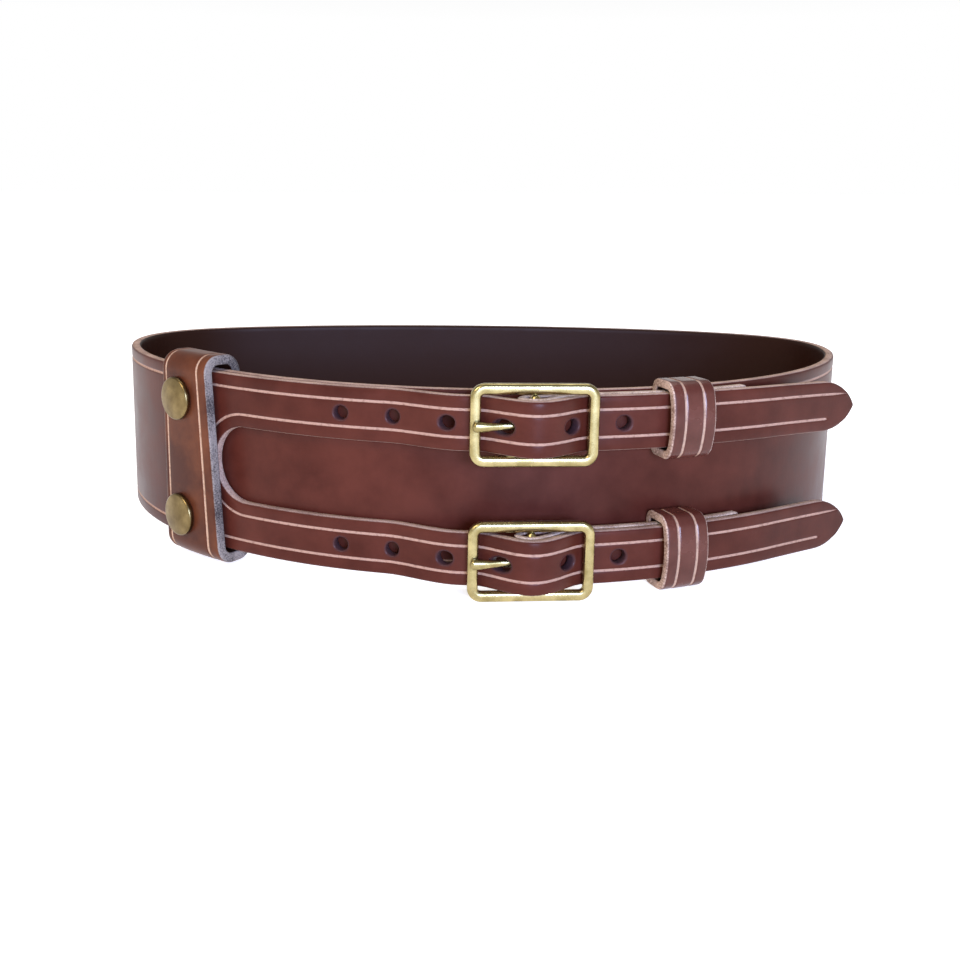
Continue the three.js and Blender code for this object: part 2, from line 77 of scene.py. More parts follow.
# %% The oval and its length
def oval(angle):
    """Plan point and outward direction of the oval.
    x is the half width times sin(angle) with some sin(3 angle). y is minus the half depth times
    cos(angle) with some cos(3 angle) and cos(2 angle). The direction is the slope turned outwards."""
    k, e = corner_fullness, front_fullness
    x = loop_half_width * ((1 + k) * np.sin(angle) + k * np.sin(3 * angle))
    y = -loop_half_depth * ((1 - k) * np.cos(angle) + k * np.cos(3 * angle) + e * np.cos(2 * angle))
    dx = loop_half_width * ((1 + k) * np.cos(angle) + 3 * k * np.cos(3 * angle))
    dy = loop_half_depth * ((1 - k) * np.sin(angle) + 3 * k * np.sin(3 * angle) + 2 * e * np.sin(2 * angle))
    size = np.hypot(dx, dy)
    return np.stack([x, y], -1), np.stack([dy / size, -dx / size], -1)


turn = np.linspace(0, 2 * np.pi, 14401)
turn_points, _ = oval(turn)
turn_lengths = np.concatenate([[0], np.cumsum(np.hypot(*np.diff(turn_points, axis=0).T))])
loop_length = turn_lengths[-1]
print("the oval is", round(loop_length, 1), "mm long")


def beside(length, out):
    """The oval's point at a length from the middle of the front, moved outwards."""
    rounds = np.floor(length / loop_length)
    angle = np.interp(length - rounds * loop_length, turn_lengths, turn)
    point, outwards = oval(angle)
    return point + outwards * np.asarray(out)[..., None]


def smooth_table(rows):
    """A function of length through rows of (length, value), with a smooth step between two rows."""
    at, value = np.array(rows, float).T

    def read(length):
        """Between two rows, the step is 3 part squared less 2 part cubed."""
        i = np.clip(np.searchsorted(at, length, side="right") - 1, 0, len(at) - 2)
        part = np.clip((length - at[i]) / (at[i + 1] - at[i]), 0, 1)
        return value[i] + (value[i + 1] - value[i]) * part * part * (3 - 2 * part)
    return read

# %% [markdown]
# ## Layers
#
# In front, the long straps lie over the short buckle straps, and these over the small keepers' backs and
# the band. Each layer is one leather and a small gap further out. The band itself changes its distance from
# the loop as it goes round: it steps over its own inner end, lifts over the short straps, and bulges over
# the buckle's middle bar. A table of lengths and distances with smooth steps between them says all of this.

# %% Where the buckles and keepers are
buckle_at, buckle_width, buckle_height = 5.5, 46.0, 30.0
buckle_bar, centre_bar = 4.0, 3.4
small_keeper_leather = 3.2
wide_keeper_at, wide_keeper_width, wide_keeper_leather = -130.0, 25.0, 4.0
fold_leaf, fold_slack = 3.0, 1.0

# %% How far out each layer lies
chape_stand_off = leather + small_keeper_leather + 2 * layer_gap
strap_over_chape = chape_stand_off + layer_step
front_radius = (loop_half_width * (1 + 4 * corner_fullness)) ** 2 / (
    loop_half_depth * (1 + 8 * corner_fullness + 4 * front_fullness))
bar_reach = (buckle_width - buckle_bar) / 2
bar_inside = buckle_width / 2 - buckle_bar
bar_sag = bar_reach ** 2 / (2 * (front_radius + strap_over_chape))
frame_out = strap_over_chape + leather / 2 + layer_gap + buckle_bar / 2 - bar_sag
fold_reach = centre_bar / 2 + layer_gap + fold_leaf
bulge_out = frame_out + fold_reach + layer_gap + leather / 2
print("the long straps lie", round(strap_over_chape, 1), "mm out, and", round(bulge_out, 1), "over the bar")

# %% The band's way out from the loop, and where its parts begin
underlap_tail, lap_clear, lap_run, slot_root_cover = 18.0, 60.0, 90.0, 1.0
lift_starts_at, tip_leaves_at, tip_free = -46.0, 103.0, 46.0
underlap_end = wide_keeper_at - wide_keeper_width / 2 - underlap_tail
lap_full = loop_length + underlap_end - lap_clear
band_out = smooth_table([
    (lap_full - lap_run, 0), (lap_full, layer_step), (loop_length + lift_starts_at, layer_step),
    (loop_length + buckle_at - buckle_width / 2, strap_over_chape),
    (loop_length + buckle_at - bar_inside, strap_over_chape), (loop_length + buckle_at, bulge_out),
    (loop_length + buckle_at + bar_inside, strap_over_chape)])
straight_from = loop_length + tip_leaves_at
tip_end = straight_from + tip_free
slot_root = loop_length + wide_keeper_at + wide_keeper_width / 2 - slot_root_cover
print("the band runs", round(tip_end - underlap_end, 1), "mm along the oval")

# %% Paths, and a point beside a path
def slope(path, length, reach=0.3):
    """Unit direction of a path: the chord over a short reach."""
    step = path(length + reach) - path(length - reach)
    return step / np.linalg.norm(step, axis=-1, keepdims=True)


def outward_of(path, length):
    """Outward direction of a path: its slope turned by a quarter."""
    along = slope(path, length)
    return np.stack([along[..., 1], -along[..., 0]], -1)


def off_path(path, length, out):
    """A point of a path, moved square to it by the distance out."""
    return path(length) + outward_of(path, length) * np.asarray(out)[..., None]


def band_path(length):
    """Plan point of the band's middle layer: round the oval, then straight on at the free tips.
    The tips' heading is the chord between two points just before they leave the oval."""
    length = np.asarray(length, float)
    curved = beside(np.minimum(length, straight_from), band_out(np.minimum(length, straight_from)))
    before, after = (beside(straight_from + d, strap_over_chape) for d in (np.array(-1.4), np.array(-0.6)))
    heading = (after - before) / np.linalg.norm(after - before)
    return curved + heading * np.maximum(length - straight_from, 0)[..., None]


def loop_path(length):
    """Plan point of the loop itself."""
    return beside(np.asarray(length, float), np.zeros(np.shape(length)))

# %% [markdown]
# ## How the belt stands
#
# The wide keeper and the lower buckle reach a few millimetres below the band. The belt therefore stands on
# them and on the band's back edge, and leans by about a degree. The three points give a plane, and the
# whole belt is turned until that plane is level. The CAD band's box then says where it stands exactly.

# %% The lean
wide_keeper_below, wide_keeper_above = 1.8, 2.3
back_part = (0.15, 0.75)


def low_point(length, out, height):
    """A point that the belt may stand on, before it leans."""
    return np.append(off_path(loop_path, np.array(float(length)), out), height)


keeper_foot = low_point(wide_keeper_at, layer_step / 2, -wide_keeper_below - wide_keeper_leather)
buckle_foot = low_point(buckle_at, frame_out, (strap_height - buckle_height) / 2)
back_edge = [low_point(at, leather / 2, 0) for at in np.linspace(*back_part, 160) * loop_length]
planes = np.array([np.cross(edge - buckle_foot, keeper_foot - buckle_foot) for edge in back_edge])
planes /= np.linalg.norm(planes, axis=1, keepdims=True)
upwards = planes[planes[:, 2].argmax()]
tilt_axis = np.cross(upwards, [0, 0, 1])
cross = np.array([[0, -tilt_axis[2], tilt_axis[1]], [tilt_axis[2], 0, -tilt_axis[0]],
                  [-tilt_axis[1], tilt_axis[0], 0]])
lean = np.eye(3) + cross + cross @ cross / (1 + upwards[2])
print("lean in degrees:", np.degrees(np.arccos(upwards[2])).round(2))

# %% The place, from the CAD band's box
edge_lengths = np.linspace(underlap_end, tip_end, 4000)
edge_sides = [np.column_stack([off_path(band_path, edge_lengths, side * leather / 2),
                               np.full(len(edge_lengths), height)])
              for side in (-1, 1) for height in (0.0, band_height)]
turned_edges = np.concatenate(edge_sides) @ lean.T
band_low, band_high = (np.array(corner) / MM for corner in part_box("belt_band"))
stand = np.array([band_low[0] - turned_edges[:, 0].min(), band_high[1] - turned_edges[:, 1].max(),
                  band_high[2] - turned_edges[:, 2].max()])
print("stand in mm:", stand.round(2))


def to_world(points):
    """Belt millimetres to world metres: turned by the lean, then moved to where the CAD stands."""
    return (points @ lean.T + stand) * MM


def place(path, length, out, height):
    """World point of (length along a path, distance outwards, height), worked out for whole arrays."""
    length, out, height = np.broadcast_arrays(length, out, height)
    plan = off_path(path, length.astype(float), out)
    return to_world(np.concatenate([plan, height[..., None]], -1))

# %% [markdown]
# ## Meshes from grids
#
# Each piece is made from grids of points, worked out as whole arrays. A small class collects the grids of
# a piece, joins them where they meet, and writes them into a mesh. Every point also carries what the
# materials need to know: where it lies on the leather, how deep it is in a pressed line, and whether it is
# on a cut edge, on the inside or in a hole.

# %% A collector of grids
MARKS = ("line", "cut", "inside", "hole")
LAY_SCALE = 0.01
MERGE_WITHIN, TOO_SMALL = 2e-6, 1e-7


class Sheet:
    """Grids of points that become one mesh. lay is (length, height, depth) on the leather."""

    def __init__(self):
        self.points, self.lays, self.marks, self.faces, self.count = [], [], [], [], 0

    def add(self, points, lay=None, closed=(False, False), skip=None, fill_ends=False, **marks):
        """One grid of rows and columns. closed says which way it comes back to its start."""
        rows, columns = points.shape[:2]
        index = np.arange(rows * columns).reshape(rows, columns) + self.count
        down = np.concatenate([index, index[:1]]) if closed[0] else index
        full = np.concatenate([down, down[:, :1]], 1) if closed[1] else down
        quads = np.stack([full[:-1, :-1], full[1:, :-1], full[1:, 1:], full[:-1, 1:]], -1)
        if skip is not None:
            quads = quads[~skip[:quads.shape[0], :quads.shape[1]]]
        self.faces += quads.reshape(-1, 4).tolist()
        if fill_ends:
            self.faces += [index[0].tolist(), index[-1, ::-1].tolist()]
        self.points.append(points.reshape(-1, 3))
        self.lays.append((points / MM if lay is None else np.broadcast_to(lay, points.shape)).reshape(-1, 3))
        self.marks.append(np.stack([np.broadcast_to(marks.get(m, 0.0), (rows, columns)).ravel()
                                    for m in MARKS], -1))
        self.count += rows * columns

    def mesh(self, name):
        """The grids as one mesh, with where each point lies and its marks written on its points."""
        mesh = bpy.data.meshes.new(name)
        mesh.from_pydata(np.concatenate(self.points).tolist(), [], self.faces)
        lay = mesh.attributes.new("lay", "FLOAT_VECTOR", "POINT")
        lay.data.foreach_set("vector", (np.concatenate(self.lays) * LAY_SCALE).ravel())
        for mark, values in zip(MARKS, np.concatenate(self.marks).T):
            mesh.attributes.new(mark, "FLOAT", "POINT").data.foreach_set("value", values)
        return mesh

    def piece(self, name, material, slot, *nodes):
        """The finished object: doubles merged, faces turned outwards, smooth, riding on the belt."""
        mesh = self.mesh(name)
        work = bmesh.new()
        work.from_mesh(mesh)
        bmesh.ops.remove_doubles(work, verts=work.verts, dist=MERGE_WITHIN)
        bmesh.ops.dissolve_degenerate(work, edges=work.edges, dist=TOO_SMALL)
        bmesh.ops.recalc_face_normals(work, faces=work.faces)
        odd_edges = sum(1 for edge in work.edges if len(edge.link_faces) != 2)
        work.to_mesh(mesh)
        work.free()
        mesh.shade_smooth()
        mesh.materials.append(material)
        made = bpy.data.objects.new(name, mesh)
        bpy.context.scene.collection.objects.link(made)
        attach(made, "root")
        if nodes:
            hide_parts(*nodes)
        print(name, "has", len(mesh.polygons), "faces and", odd_edges, "edges without two faces")
        return made

# %% [markdown]
# ## Leather
#
# The leather is vegetable tanned and dyed dark brown, with a smooth finish that has a soft sheen. Dye is
# never even: it is blotchy over some centimetres and follows the fine lines of the grain. Lines pressed or
# cut into the surface show the pale core, and so do the cut edges. Colour, roughness and bump therefore
# come from noise on the leather's own coordinates, mixed by the marks on the mesh.

# %% Small helpers for node trees
def new_material(name):
    """An empty material, its node tree and its shader."""
    material = bpy.data.materials.new(name)
    material.use_nodes = True
    tree = material.node_tree
    return material, tree, tree.nodes["Principled BSDF"]


def node(tree, kind, inputs=None, **settings):
    """A node with its settings and inputs. An input may be a value or another node's output."""
    made = tree.nodes.new("ShaderNode" + kind)
    for key, value in settings.items():
        setattr(made, key, value)
    for key, value in (inputs or {}).items():
        if isinstance(value, bpy.types.NodeSocket):
            tree.links.new(value, made.inputs[key])
        else:
            made.inputs[key].default_value = value
    return made


def mix_colour(tree, factor, below, above):
    """The colour below where factor is 0, the colour above where it is 1."""
    made = node(tree, "Mix", {0: factor, 6: below, 7: above}, data_type="RGBA")
    return made.outputs[2]


def ramp(tree, value, low, high, bottom=0.0, top=1.0):
    """A value moved from the range low to high into the range bottom to top, and held there."""
    made = node(tree, "MapRange", {0: value, 1: low, 2: high, 3: bottom, 4: top})
    return made.outputs[0]

# %% Sums, noises and bump
def arithmetic(tree, operation, first, second):
    """A Math node's result."""
    return node(tree, "Math", {0: first, 1: second}, operation=operation).outputs[0]


def weighted_sum(tree, *parts):
    """The sum of values, each multiplied by its weight."""
    value, weight = parts[0]
    total = arithmetic(tree, "MULTIPLY", value, weight)
    for value, weight in parts[1:]:
        total = arithmetic(tree, "ADD", total, arithmetic(tree, "MULTIPLY", value, weight))
    return total


def attribute(tree, name):
    """The node that reads one of a mesh's attributes."""
    return node(tree, "Attribute", attribute_name=name)


def noise(tree, where, scale, detail, roughness):
    """Smooth noise between 0 and 1. A larger scale makes it finer."""
    made = node(tree, "TexNoise", {"Vector": where, "Scale": scale, "Detail": detail, "Roughness": roughness})
    return made.outputs["Fac"]


def connect_bump(tree, shader, height, strength, distance):
    """Small heights that only the light sees."""
    bump = node(tree, "Bump", {"Height": height, "Strength": strength, "Distance": distance})
    tree.links.new(bump.outputs["Normal"], shader.inputs["Normal"])

# %% The leather's noises, and where a pressed line is worn pale
def leather_noises(tree):
    """Noises on the leather's own coordinates, from blotches of some centimetres to single fibres.
    The creases' coordinates are stretched, so that they run up and down the band."""
    lay = attribute(tree, "lay").outputs["Vector"]
    stretched = node(tree, "VectorMath", {0: lay, 1: (60.0, 9.0, 30.0)}, operation="MULTIPLY").outputs[0]
    return {"blotch": noise(tree, lay, 1.6, 4.0, 0.6),
            "cloud": noise(tree, lay, 7.0, 4.0, 0.6),
            "pores": noise(tree, lay, 150.0, 2.0, 0.6),
            "creases": noise(tree, stretched, 1.0, 3.0, 0.6),
            "fibres": noise(tree, lay, 170.0, 3.0, 0.7),
            "flecks": noise(tree, lay, 60.0, 3.0, 0.6)}


def worn_line(tree, noises, marks):
    """1 where a pressed line shows and 0 beside it: its mark, made a little ragged by the fibres."""
    ragged = ramp(tree, noises["fibres"], 0.3, 0.7, -0.08, 0.1)
    return ramp(tree, arithmetic(tree, "ADD", marks["line"], ragged), 0.3, 0.65)

# %% The leather's colour
flesh_side = (0.016, 0.0040, 0.0020, 1)
# The holes' dark brown: dye on their lips, and painted shade on their walls.
hole_dye_and_shade = (0.045, 0.022, 0.024, 1)


def leather_colour(tree, noises, marks, worn, look):
    """The dye's two tones, and over them the inside, the pressed lines, the cut edges, and the holes' dyed
    lips with painted shade on their walls.
    """
    tone = ramp(tree, arithmetic(tree, "ADD", noises["blotch"], noises["cloud"]), 0.78, 1.22)
    colour = mix_colour(tree, tone, look["dark"], look["light"])
    colour = mix_colour(tree, marks["inside"], colour, flesh_side)
    pressed = mix_colour(tree, ramp(tree, noises["flecks"], 0.1, 0.5), colour, look["line"])
    colour = mix_colour(tree, worn, colour, pressed)
    stain = weighted_sum(tree, (noises["fibres"], 0.6), (noises["cloud"], 0.4))
    raw = mix_colour(tree, ramp(tree, stain, 0.41, 0.57), look["core_dark"], look["core"])
    colour = mix_colour(tree, ramp(tree, marks["cut"], 0.3, 0.8), colour, raw)
    return mix_colour(tree, ramp(tree, marks["hole"], 0.1, 0.9, 0.0, 0.9), colour, hole_dye_and_shade)

# %% The leather's material
warm_reflection = (1.0, 0.86, 0.74, 1)


def leather_material(name, gloss, shine, **look):
    """Brown leather. look gives the colours: dark and light are the dye's two tones, line is a pressed
    line, and core and core_dark are a cut edge. gloss is the roughness, and shine the reflection.
    Cut edges, worn lines and the inside are rougher, and cut edges are also bumpier."""
    material, tree, shader = new_material(name)
    noises = leather_noises(tree)
    marks = {mark: attribute(tree, mark).outputs["Fac"] for mark in MARKS}
    worn = worn_line(tree, noises, marks)
    tree.links.new(leather_colour(tree, noises, marks, worn, look), shader.inputs["Base Color"])
    polished = ramp(tree, noises["cloud"], 0.3, 0.7, gloss - 0.04, gloss + 0.05)
    rough = weighted_sum(tree, (polished, 1.0), (marks["cut"], 0.4), (worn, 0.15), (marks["inside"], 0.1))
    tree.links.new(rough, shader.inputs["Roughness"])
    raw = arithmetic(tree, "MULTIPLY", marks["cut"], 2.6)
    height = weighted_sum(tree, (noises["pores"], 0.32), (noises["creases"], 0.35), (noises["fibres"], raw))
    connect_bump(tree, shader, height, 0.3, 0.0002)
    shader.inputs["Specular IOR Level"].default_value = shine
    shader.inputs["Specular Tint"].default_value = warm_reflection
    return material

# %% The four leathers
band_dye = {"dark": (0.048, 0.0092, 0.0055, 1), "light": (0.078, 0.0175, 0.0105, 1),
            "line": (0.37, 0.215, 0.150, 1)}
band_leather = leather_material(
    "band_leather", 0.34, 0.13, **band_dye,
    core=(0.50, 0.34, 0.26, 1), core_dark=(0.25, 0.155, 0.12, 1))
short_strap_leather = leather_material(
    "short_strap_leather", 0.34, 0.13, **band_dye,
    core=(0.66, 0.50, 0.39, 1), core_dark=(0.24, 0.15, 0.11, 1))
wide_keeper_hide = leather_material(
    "wide_keeper_leather", 0.36, 0.14,
    dark=(0.050, 0.011, 0.005, 1), light=(0.125, 0.036, 0.014, 1), line=(0.44, 0.27, 0.170, 1),
    core=(0.25, 0.205, 0.175, 1), core_dark=(0.045, 0.036, 0.034, 1))
small_keeper_hide = leather_material(
    "small_keeper_leather", 0.26, 0.36,
    dark=(0.055, 0.012, 0.008, 1), light=(0.100, 0.028, 0.019, 1), line=(0.37, 0.225, 0.150, 1),
    core=(0.55, 0.38, 0.28, 1), core_dark=(0.17, 0.09, 0.06, 1))
leathers = (band_leather, short_strap_leather, wide_keeper_hide, small_keeper_hide)
print("leathers:", [leather_kind.name for leather_kind in leathers])

# %% [markdown]
# ## Antique brass
#
# The buckles and caps are brass with a thin brown patina, rubbed bright where they are handled. A metal's
# colour is in its reflection, so the shader is fully metallic: a greenish yellow, dulled by soft blotches,
# with small dark specks. The same material is used twice: brighter for the buckles, browner for the caps.

# %% The brass material
brass_speck = (0.14, 0.09, 0.04, 1)


def brass_material(name, dull, bright, rough_low, rough_high):
    """Patinated brass. dull and bright are the reflection's two colours, mixed by a cloudy noise, and
    the bright parts are the smoother ones."""
    material, tree, shader = new_material(name)
    where = node(tree, "TexCoord").outputs["Object"]
    cloud = noise(tree, where, 160.0, 4.0, 0.55)
    speck = noise(tree, where, 1300.0, 3.0, 0.6)
    colour = mix_colour(tree, ramp(tree, cloud, 0.35, 0.65), dull, bright)
    colour = mix_colour(tree, ramp(tree, speck, 0.62, 0.78, 0.0, 0.4), colour, brass_speck)
    tree.links.new(colour, shader.inputs["Base Color"])
    tree.links.new(ramp(tree, cloud, 0.3, 0.7, rough_high, rough_low), shader.inputs["Roughness"])
    connect_bump(tree, shader, cloud, 0.05, 0.0001)
    shader.inputs["Metallic"].default_value = 1.0
    return material


buckle_brass = brass_material("buckle_brass", (0.29, 0.225, 0.088, 1), (0.50, 0.41, 0.19, 1), 0.22, 0.32)
cap_brass = brass_material("cap_brass", (0.13, 0.088, 0.034, 1), (0.24, 0.172, 0.072, 1), 0.26, 0.34)
print("brass:", buckle_brass.name, cap_brass.name)

# %% [markdown]
# ## The band and its two straps
#
# The band is cut from one piece of leather, so it is one mesh. Across the leather, points are dense near
# the edges and at the pressed line that runs 5 mm inside every edge. At the fork the ribs fan out round
# the slot's root, so that the pressed line follows the slot as it does on the real belt.

# %% One section of leather
line_inset, line_half_width, line_depth = 5.0, 0.7, 0.36
edge_steps = np.array([0.0, 0.28, 0.9, 2.4, 4.0, 4.35, 4.7, 5.0, 5.3, 5.65, 6.0])
edge_drop = np.interp(edge_steps, [0, 0.28, 0.9], [0.75, 0.22, 0.0])
line_shape = np.clip(1 - ((edge_steps - line_inset) / line_half_width) ** 2, 0, 1)
last_step = edge_steps[-1]
print("from an edge, the leather drops by", edge_drop.round(2).tolist(), "mm")


def leaf_rings(low, high, middle_count, lines=(1.0, 1.0), edge_paleness_and_shade=1.0):
    """Rings round a strip. low and high give (length, height) at each distance from their edge.
    The outer face goes from the low edge to the high edge, and the inner face comes back. The depth is half
    the leather, less the edge's rounding and the pressed line. lines says how deep the low and the high line
    are pressed, and the last argument says how pale the cut edges are for each ring. Below 1, it paints shade
    on them."""
    rows = len(low)
    share = np.linspace(0, 1, middle_count + 1)[1:-1]
    middle = low[:, -1:] + (high[:, -1:] - low[:, -1:]) * share[None, :, None]
    face = np.concatenate([low, middle, high[:, ::-1]], 1)
    where = np.concatenate([face, high[:, :1], face[:, ::-1], low[:, :1]], 1)
    low_line, high_line = (np.broadcast_to(amount, (rows,))[:, None] for amount in lines)
    plain, zero = np.zeros((rows, middle_count - 1)), np.zeros((rows, 1))
    line = np.concatenate([line_shape * low_line, plain, line_shape[::-1] * high_line], 1)
    drop = np.concatenate([edge_drop, plain[0], edge_drop[::-1]])
    outer_depth = leather / 2 - drop - line * line_depth
    inner_depth = np.broadcast_to(drop - leather / 2, outer_depth.shape)
    depth = np.concatenate([outer_depth, zero, inner_depth[:, ::-1], zero], 1)
    line = np.concatenate([line, zero, np.zeros(line.shape), zero], 1)
    face_cut = np.concatenate([[0.85, 0.3], np.zeros(len(drop) - 4), [0.3, 0.85]])
    cut = np.concatenate([face_cut, [1.0], face_cut, [1.0]]) * np.broadcast_to(edge_paleness_and_shade, (rows,))[:, None]
    inside = np.concatenate([np.zeros(len(drop)), [0.5], np.ones(len(drop)), [0.5]])
    return where, depth, line, cut, np.broadcast_to(inside, depth.shape)

# %% Helpers for ribs and ends
def straight_edges(lengths, low_height, high_height):
    """Points beside two straight edges: the same length all the way across."""
    low = np.stack(np.broadcast_arrays(lengths[:, None], low_height[:, None] + edge_steps), -1)
    high = np.stack(np.broadcast_arrays(lengths[:, None], high_height[:, None] - edge_steps), -1)
    return low, high


def steps_between(start, end, step):
    """Equal steps from start to end, none longer than step."""
    return np.linspace(start, end, max(1, int(np.ceil((end - start) / step))) + 1)


def close_end(sheet, path, where, depth):
    """A flat end. The ring's points are drawn in to its middle line, where its two faces meet."""
    width = len(where) // 2
    middle = np.concatenate([where[:width], where[:width][::-1]])
    flat = np.stack([where, middle])
    deep = np.stack([depth, np.zeros(len(depth))])
    lay = np.concatenate([flat, deep[..., None]], -1)
    sheet.add(place(path, flat[..., 0], deep, flat[..., 1]), lay, closed=(False, True), cut=1.0)

# %% [markdown]
# ## Punched holes
#
# A round punch goes through the leather and pulls its outer face down into a soft lip. The lip is dyed
# darker, and the wall is painted darkest, as painted shade inside the hole.
# A boolean cut would leave long thin faces round it. Here a rectangular window of the grid is left out, and
# rings of points fill it: they run from the window's border to the hole's outline, down the wall, and out
# again on the inside.

# %% A punched hole in a window of the grid
hole_rings = [
    # (share of the way out to the border, growth, depth, darkness from the dyed lip and the painted shade on
    # the wall, inside)
    (1.0, 0.0, leather / 2, 0.0, 0), (0.5, 0.1, leather / 2, 0.0, 0), (0.0, 0.75, leather / 2, 0.25, 0),
    (0.0, 0.3, leather / 2 - 0.16, 0.6, 0), (0.0, 0.0, leather / 2 - 0.55, 0.85, 0),
    (0.0, 0.05, 0.3, 1.0, 0), (0.0, -0.05, -0.5, 1.0, 0), (0.0, 0.0, 0.3 - leather / 2, 1.0, 0),
    (0.0, 0.3, -leather / 2, 0.5, 1), (1.0, 0.0, -leather / 2, 0.0, 1)]


def window_border(lengths, heights):
    """Once round a window's border: up its near side, along its top, down its far side, and back."""
    ups, runs = len(heights) - 1, len(lengths) - 1
    along = np.concatenate([np.full(ups, lengths[0]), lengths[:-1],
                            np.full(ups, lengths[-1]), lengths[:0:-1]])
    tall = np.concatenate([heights[:-1], np.full(runs, heights[-1]),
                           heights[:0:-1], np.full(runs, heights[0])])
    return along, tall


def hole_patch(sheet, path, centre, lengths, heights, half_long, half_high):
    """Fills a window round a hole. The outline is the ellipse's point in the direction of each border
    point. A ring lies on it, or part of the way out to the border, and may grow outwards a little."""
    away = np.stack(window_border(lengths, heights), -1) - centre
    outline = away / np.hypot(away[:, 0] / half_long, away[:, 1] / half_high)[:, None]
    direction = away / np.linalg.norm(away, axis=1, keepdims=True)
    part, grow, depth, shade, inner = np.array(hole_rings).T[..., None]
    part, grow = part[..., None], grow[..., None]
    flat = centre + outline * (1 - part) + away * part + direction * grow
    depth = np.broadcast_to(depth, flat.shape[:2])
    lay = np.concatenate([flat, depth[..., None]], -1)
    sheet.add(place(path, flat[..., 0], depth, flat[..., 1]), lay, closed=(False, True),
              hole=shade, inside=inner)


def add_leaf(sheet, path, rings, windows=(), window_columns=None):
    """Puts a leaf's rings on a path, leaves out the windows' squares, and fills them with holes."""
    where, depth, line, cut, inner = rings
    skip = np.zeros(depth.shape, bool)
    if len(windows):
        first, last = window_columns
        back = depth.shape[1] - 2 - last
        for start, end, *_ in windows:
            skip[start:end, first:last] = True
            skip[start:end, back:back + last - first] = True
    lay = np.concatenate([where, depth[..., None]], -1)
    sheet.add(place(path, where[..., 0], depth, where[..., 1]), lay, closed=(False, True), skip=skip,
              line=line, cut=cut, inside=inner)
    for start, end, centre, half_long, half_high in windows:
        hole_patch(sheet, path, np.array(centre), where[start:end + 1, first, 0],
                   where[start, first:last + 1, 1], half_long, half_high)

# %% The plain part of the band, once round the loop
band = Sheet()
corner_radius, corner_run = 1.2, 0.9
fork_at = slot_root - last_step
plain_lengths = np.concatenate([underlap_end + np.array([0.0, 0.25, 0.6]),
                                steps_between(underlap_end + 1.0, lap_full - lap_run, 4.0),
                                steps_between(lap_full - lap_run, fork_at, 2.5)[1:]])
ends = np.clip((plain_lengths - underlap_end) / corner_run, 0, 1)
corner = corner_radius * (1 - np.sqrt(1 - (1 - ends) ** 2))
low, high = straight_edges(plain_lengths, corner, band_height - corner)
# Painted shade: the cut edges' paleness falls to half at the back of the loop, which paints them darker
# there. In front it is full.
edge_paleness_and_shade = 0.5 + 0.5 * np.abs(np.cos(np.pi * plain_lengths / loop_length))
plain_rings = leaf_rings(low, high, 16, edge_paleness_and_shade=edge_paleness_and_shade)
plain_rings[3][0] = 1.0
add_leaf(band, band_path, plain_rings)
close_end(band, band_path, plain_rings[0][0], plain_rings[1][0])
print("the plain part has", len(plain_lengths), "ribs")

# %% [markdown]
# ## The fork
#
# Each strap has six punched holes. The buckle's prong goes through one of them and has pulled it a little
# long. The tip is a rounded point, so its half height falls off with a power of the way along it. The
# upper pressed line runs on nearly to the nose, and the lower one stops well before it. The lower strap's
# outline is the upper one's mirror image, and both hang down a little towards their tips.

# %% The ribs of a strap
strap_columns = 8
window_half = (strap_height - 2 * last_step) / 2
hole_count, prong_hole = 6, 3
hole_radius, hole_pitch, prong_hole_reach = 2.6, 19.7, 8.7
prong_window, prong_half_long, prong_half_high, prong_hole_shift = 4.4, 3.05, 2.75, 0.6
tip_length = 19.0
first_hole = loop_length + buckle_at - prong_hole_reach - prong_hole * hole_pitch
hole_centres = first_hole + hole_pitch * np.arange(hole_count)
window_halves = np.where(np.arange(hole_count) == prong_hole, prong_window, window_half)
slot_middle = slot_root + slot_radius


def strap_lengths():
    """Lengths of a strap's ribs: plain steps with eight equal steps across each hole's window."""
    stops, windows, here = [np.array([slot_middle])], [], slot_middle
    for centre, half in zip(hole_centres, window_halves):
        stops.append(steps_between(here, centre - half, 2.0)[1:])
        start = sum(len(stop) for stop in stops) - 1
        stops.append(np.linspace(centre - half, centre + half, 9)[1:])
        windows.append((start, start + 8))
        here = centre + half
    stops.append(steps_between(here, tip_end - tip_length, 2.5)[1:])
    round_steps = np.sin(np.linspace(0, np.pi / 2, 30))[1:]
    stops.append(tip_end - tip_length * (1 - round_steps))
    return np.concatenate(stops), windows


lengths, windows = strap_lengths()
print("a strap has", len(lengths), "ribs and", len(windows), "holes")

# %% The upper strap's outline, with the fan round the slot's root
tip_round, tip_taper, nose = 2.2, 0.78, 0.3
tip_part = np.clip((lengths - (tip_end - tip_length)) / tip_length, 0, 1)
half_height = np.maximum(strap_height / 2 * (1 - tip_part ** tip_round) ** tip_taper, nose)
shrink = np.clip((half_height - line_inset) / (strap_height / 2 - line_inset), 0.12, 1)
inwards = edge_steps[None, :] * np.minimum(shrink, half_height / (strap_height / 2))[:, None]
middle = strap_middles["upper"]
low = np.stack(np.broadcast_arrays(lengths[:, None], middle - half_height[:, None] + inwards), -1)
high = np.stack(np.broadcast_arrays(lengths[:, None], middle + half_height[:, None] - inwards), -1)
fan = np.linspace(0, np.pi / 2, 19)[:-1, None]
fan_low = np.stack([slot_middle - (slot_radius + edge_steps) * np.cos(fan),
                    band_height / 2 + (slot_radius + edge_steps) * np.sin(fan)], -1)
fan_high = np.stack(np.broadcast_arrays(slot_middle - (slot_radius + last_step) * np.cos(fan),
                                        band_height - edge_steps[None, :]), -1)
strap_sides = np.concatenate([fan_low, low]), np.concatenate([fan_high, high])
print("the fan has", len(fan), "ribs")

# %% The two straps
droops, droop_from = {"upper": 3.0, "lower": 2.0}, 70.0
droop_start = loop_length + droop_from


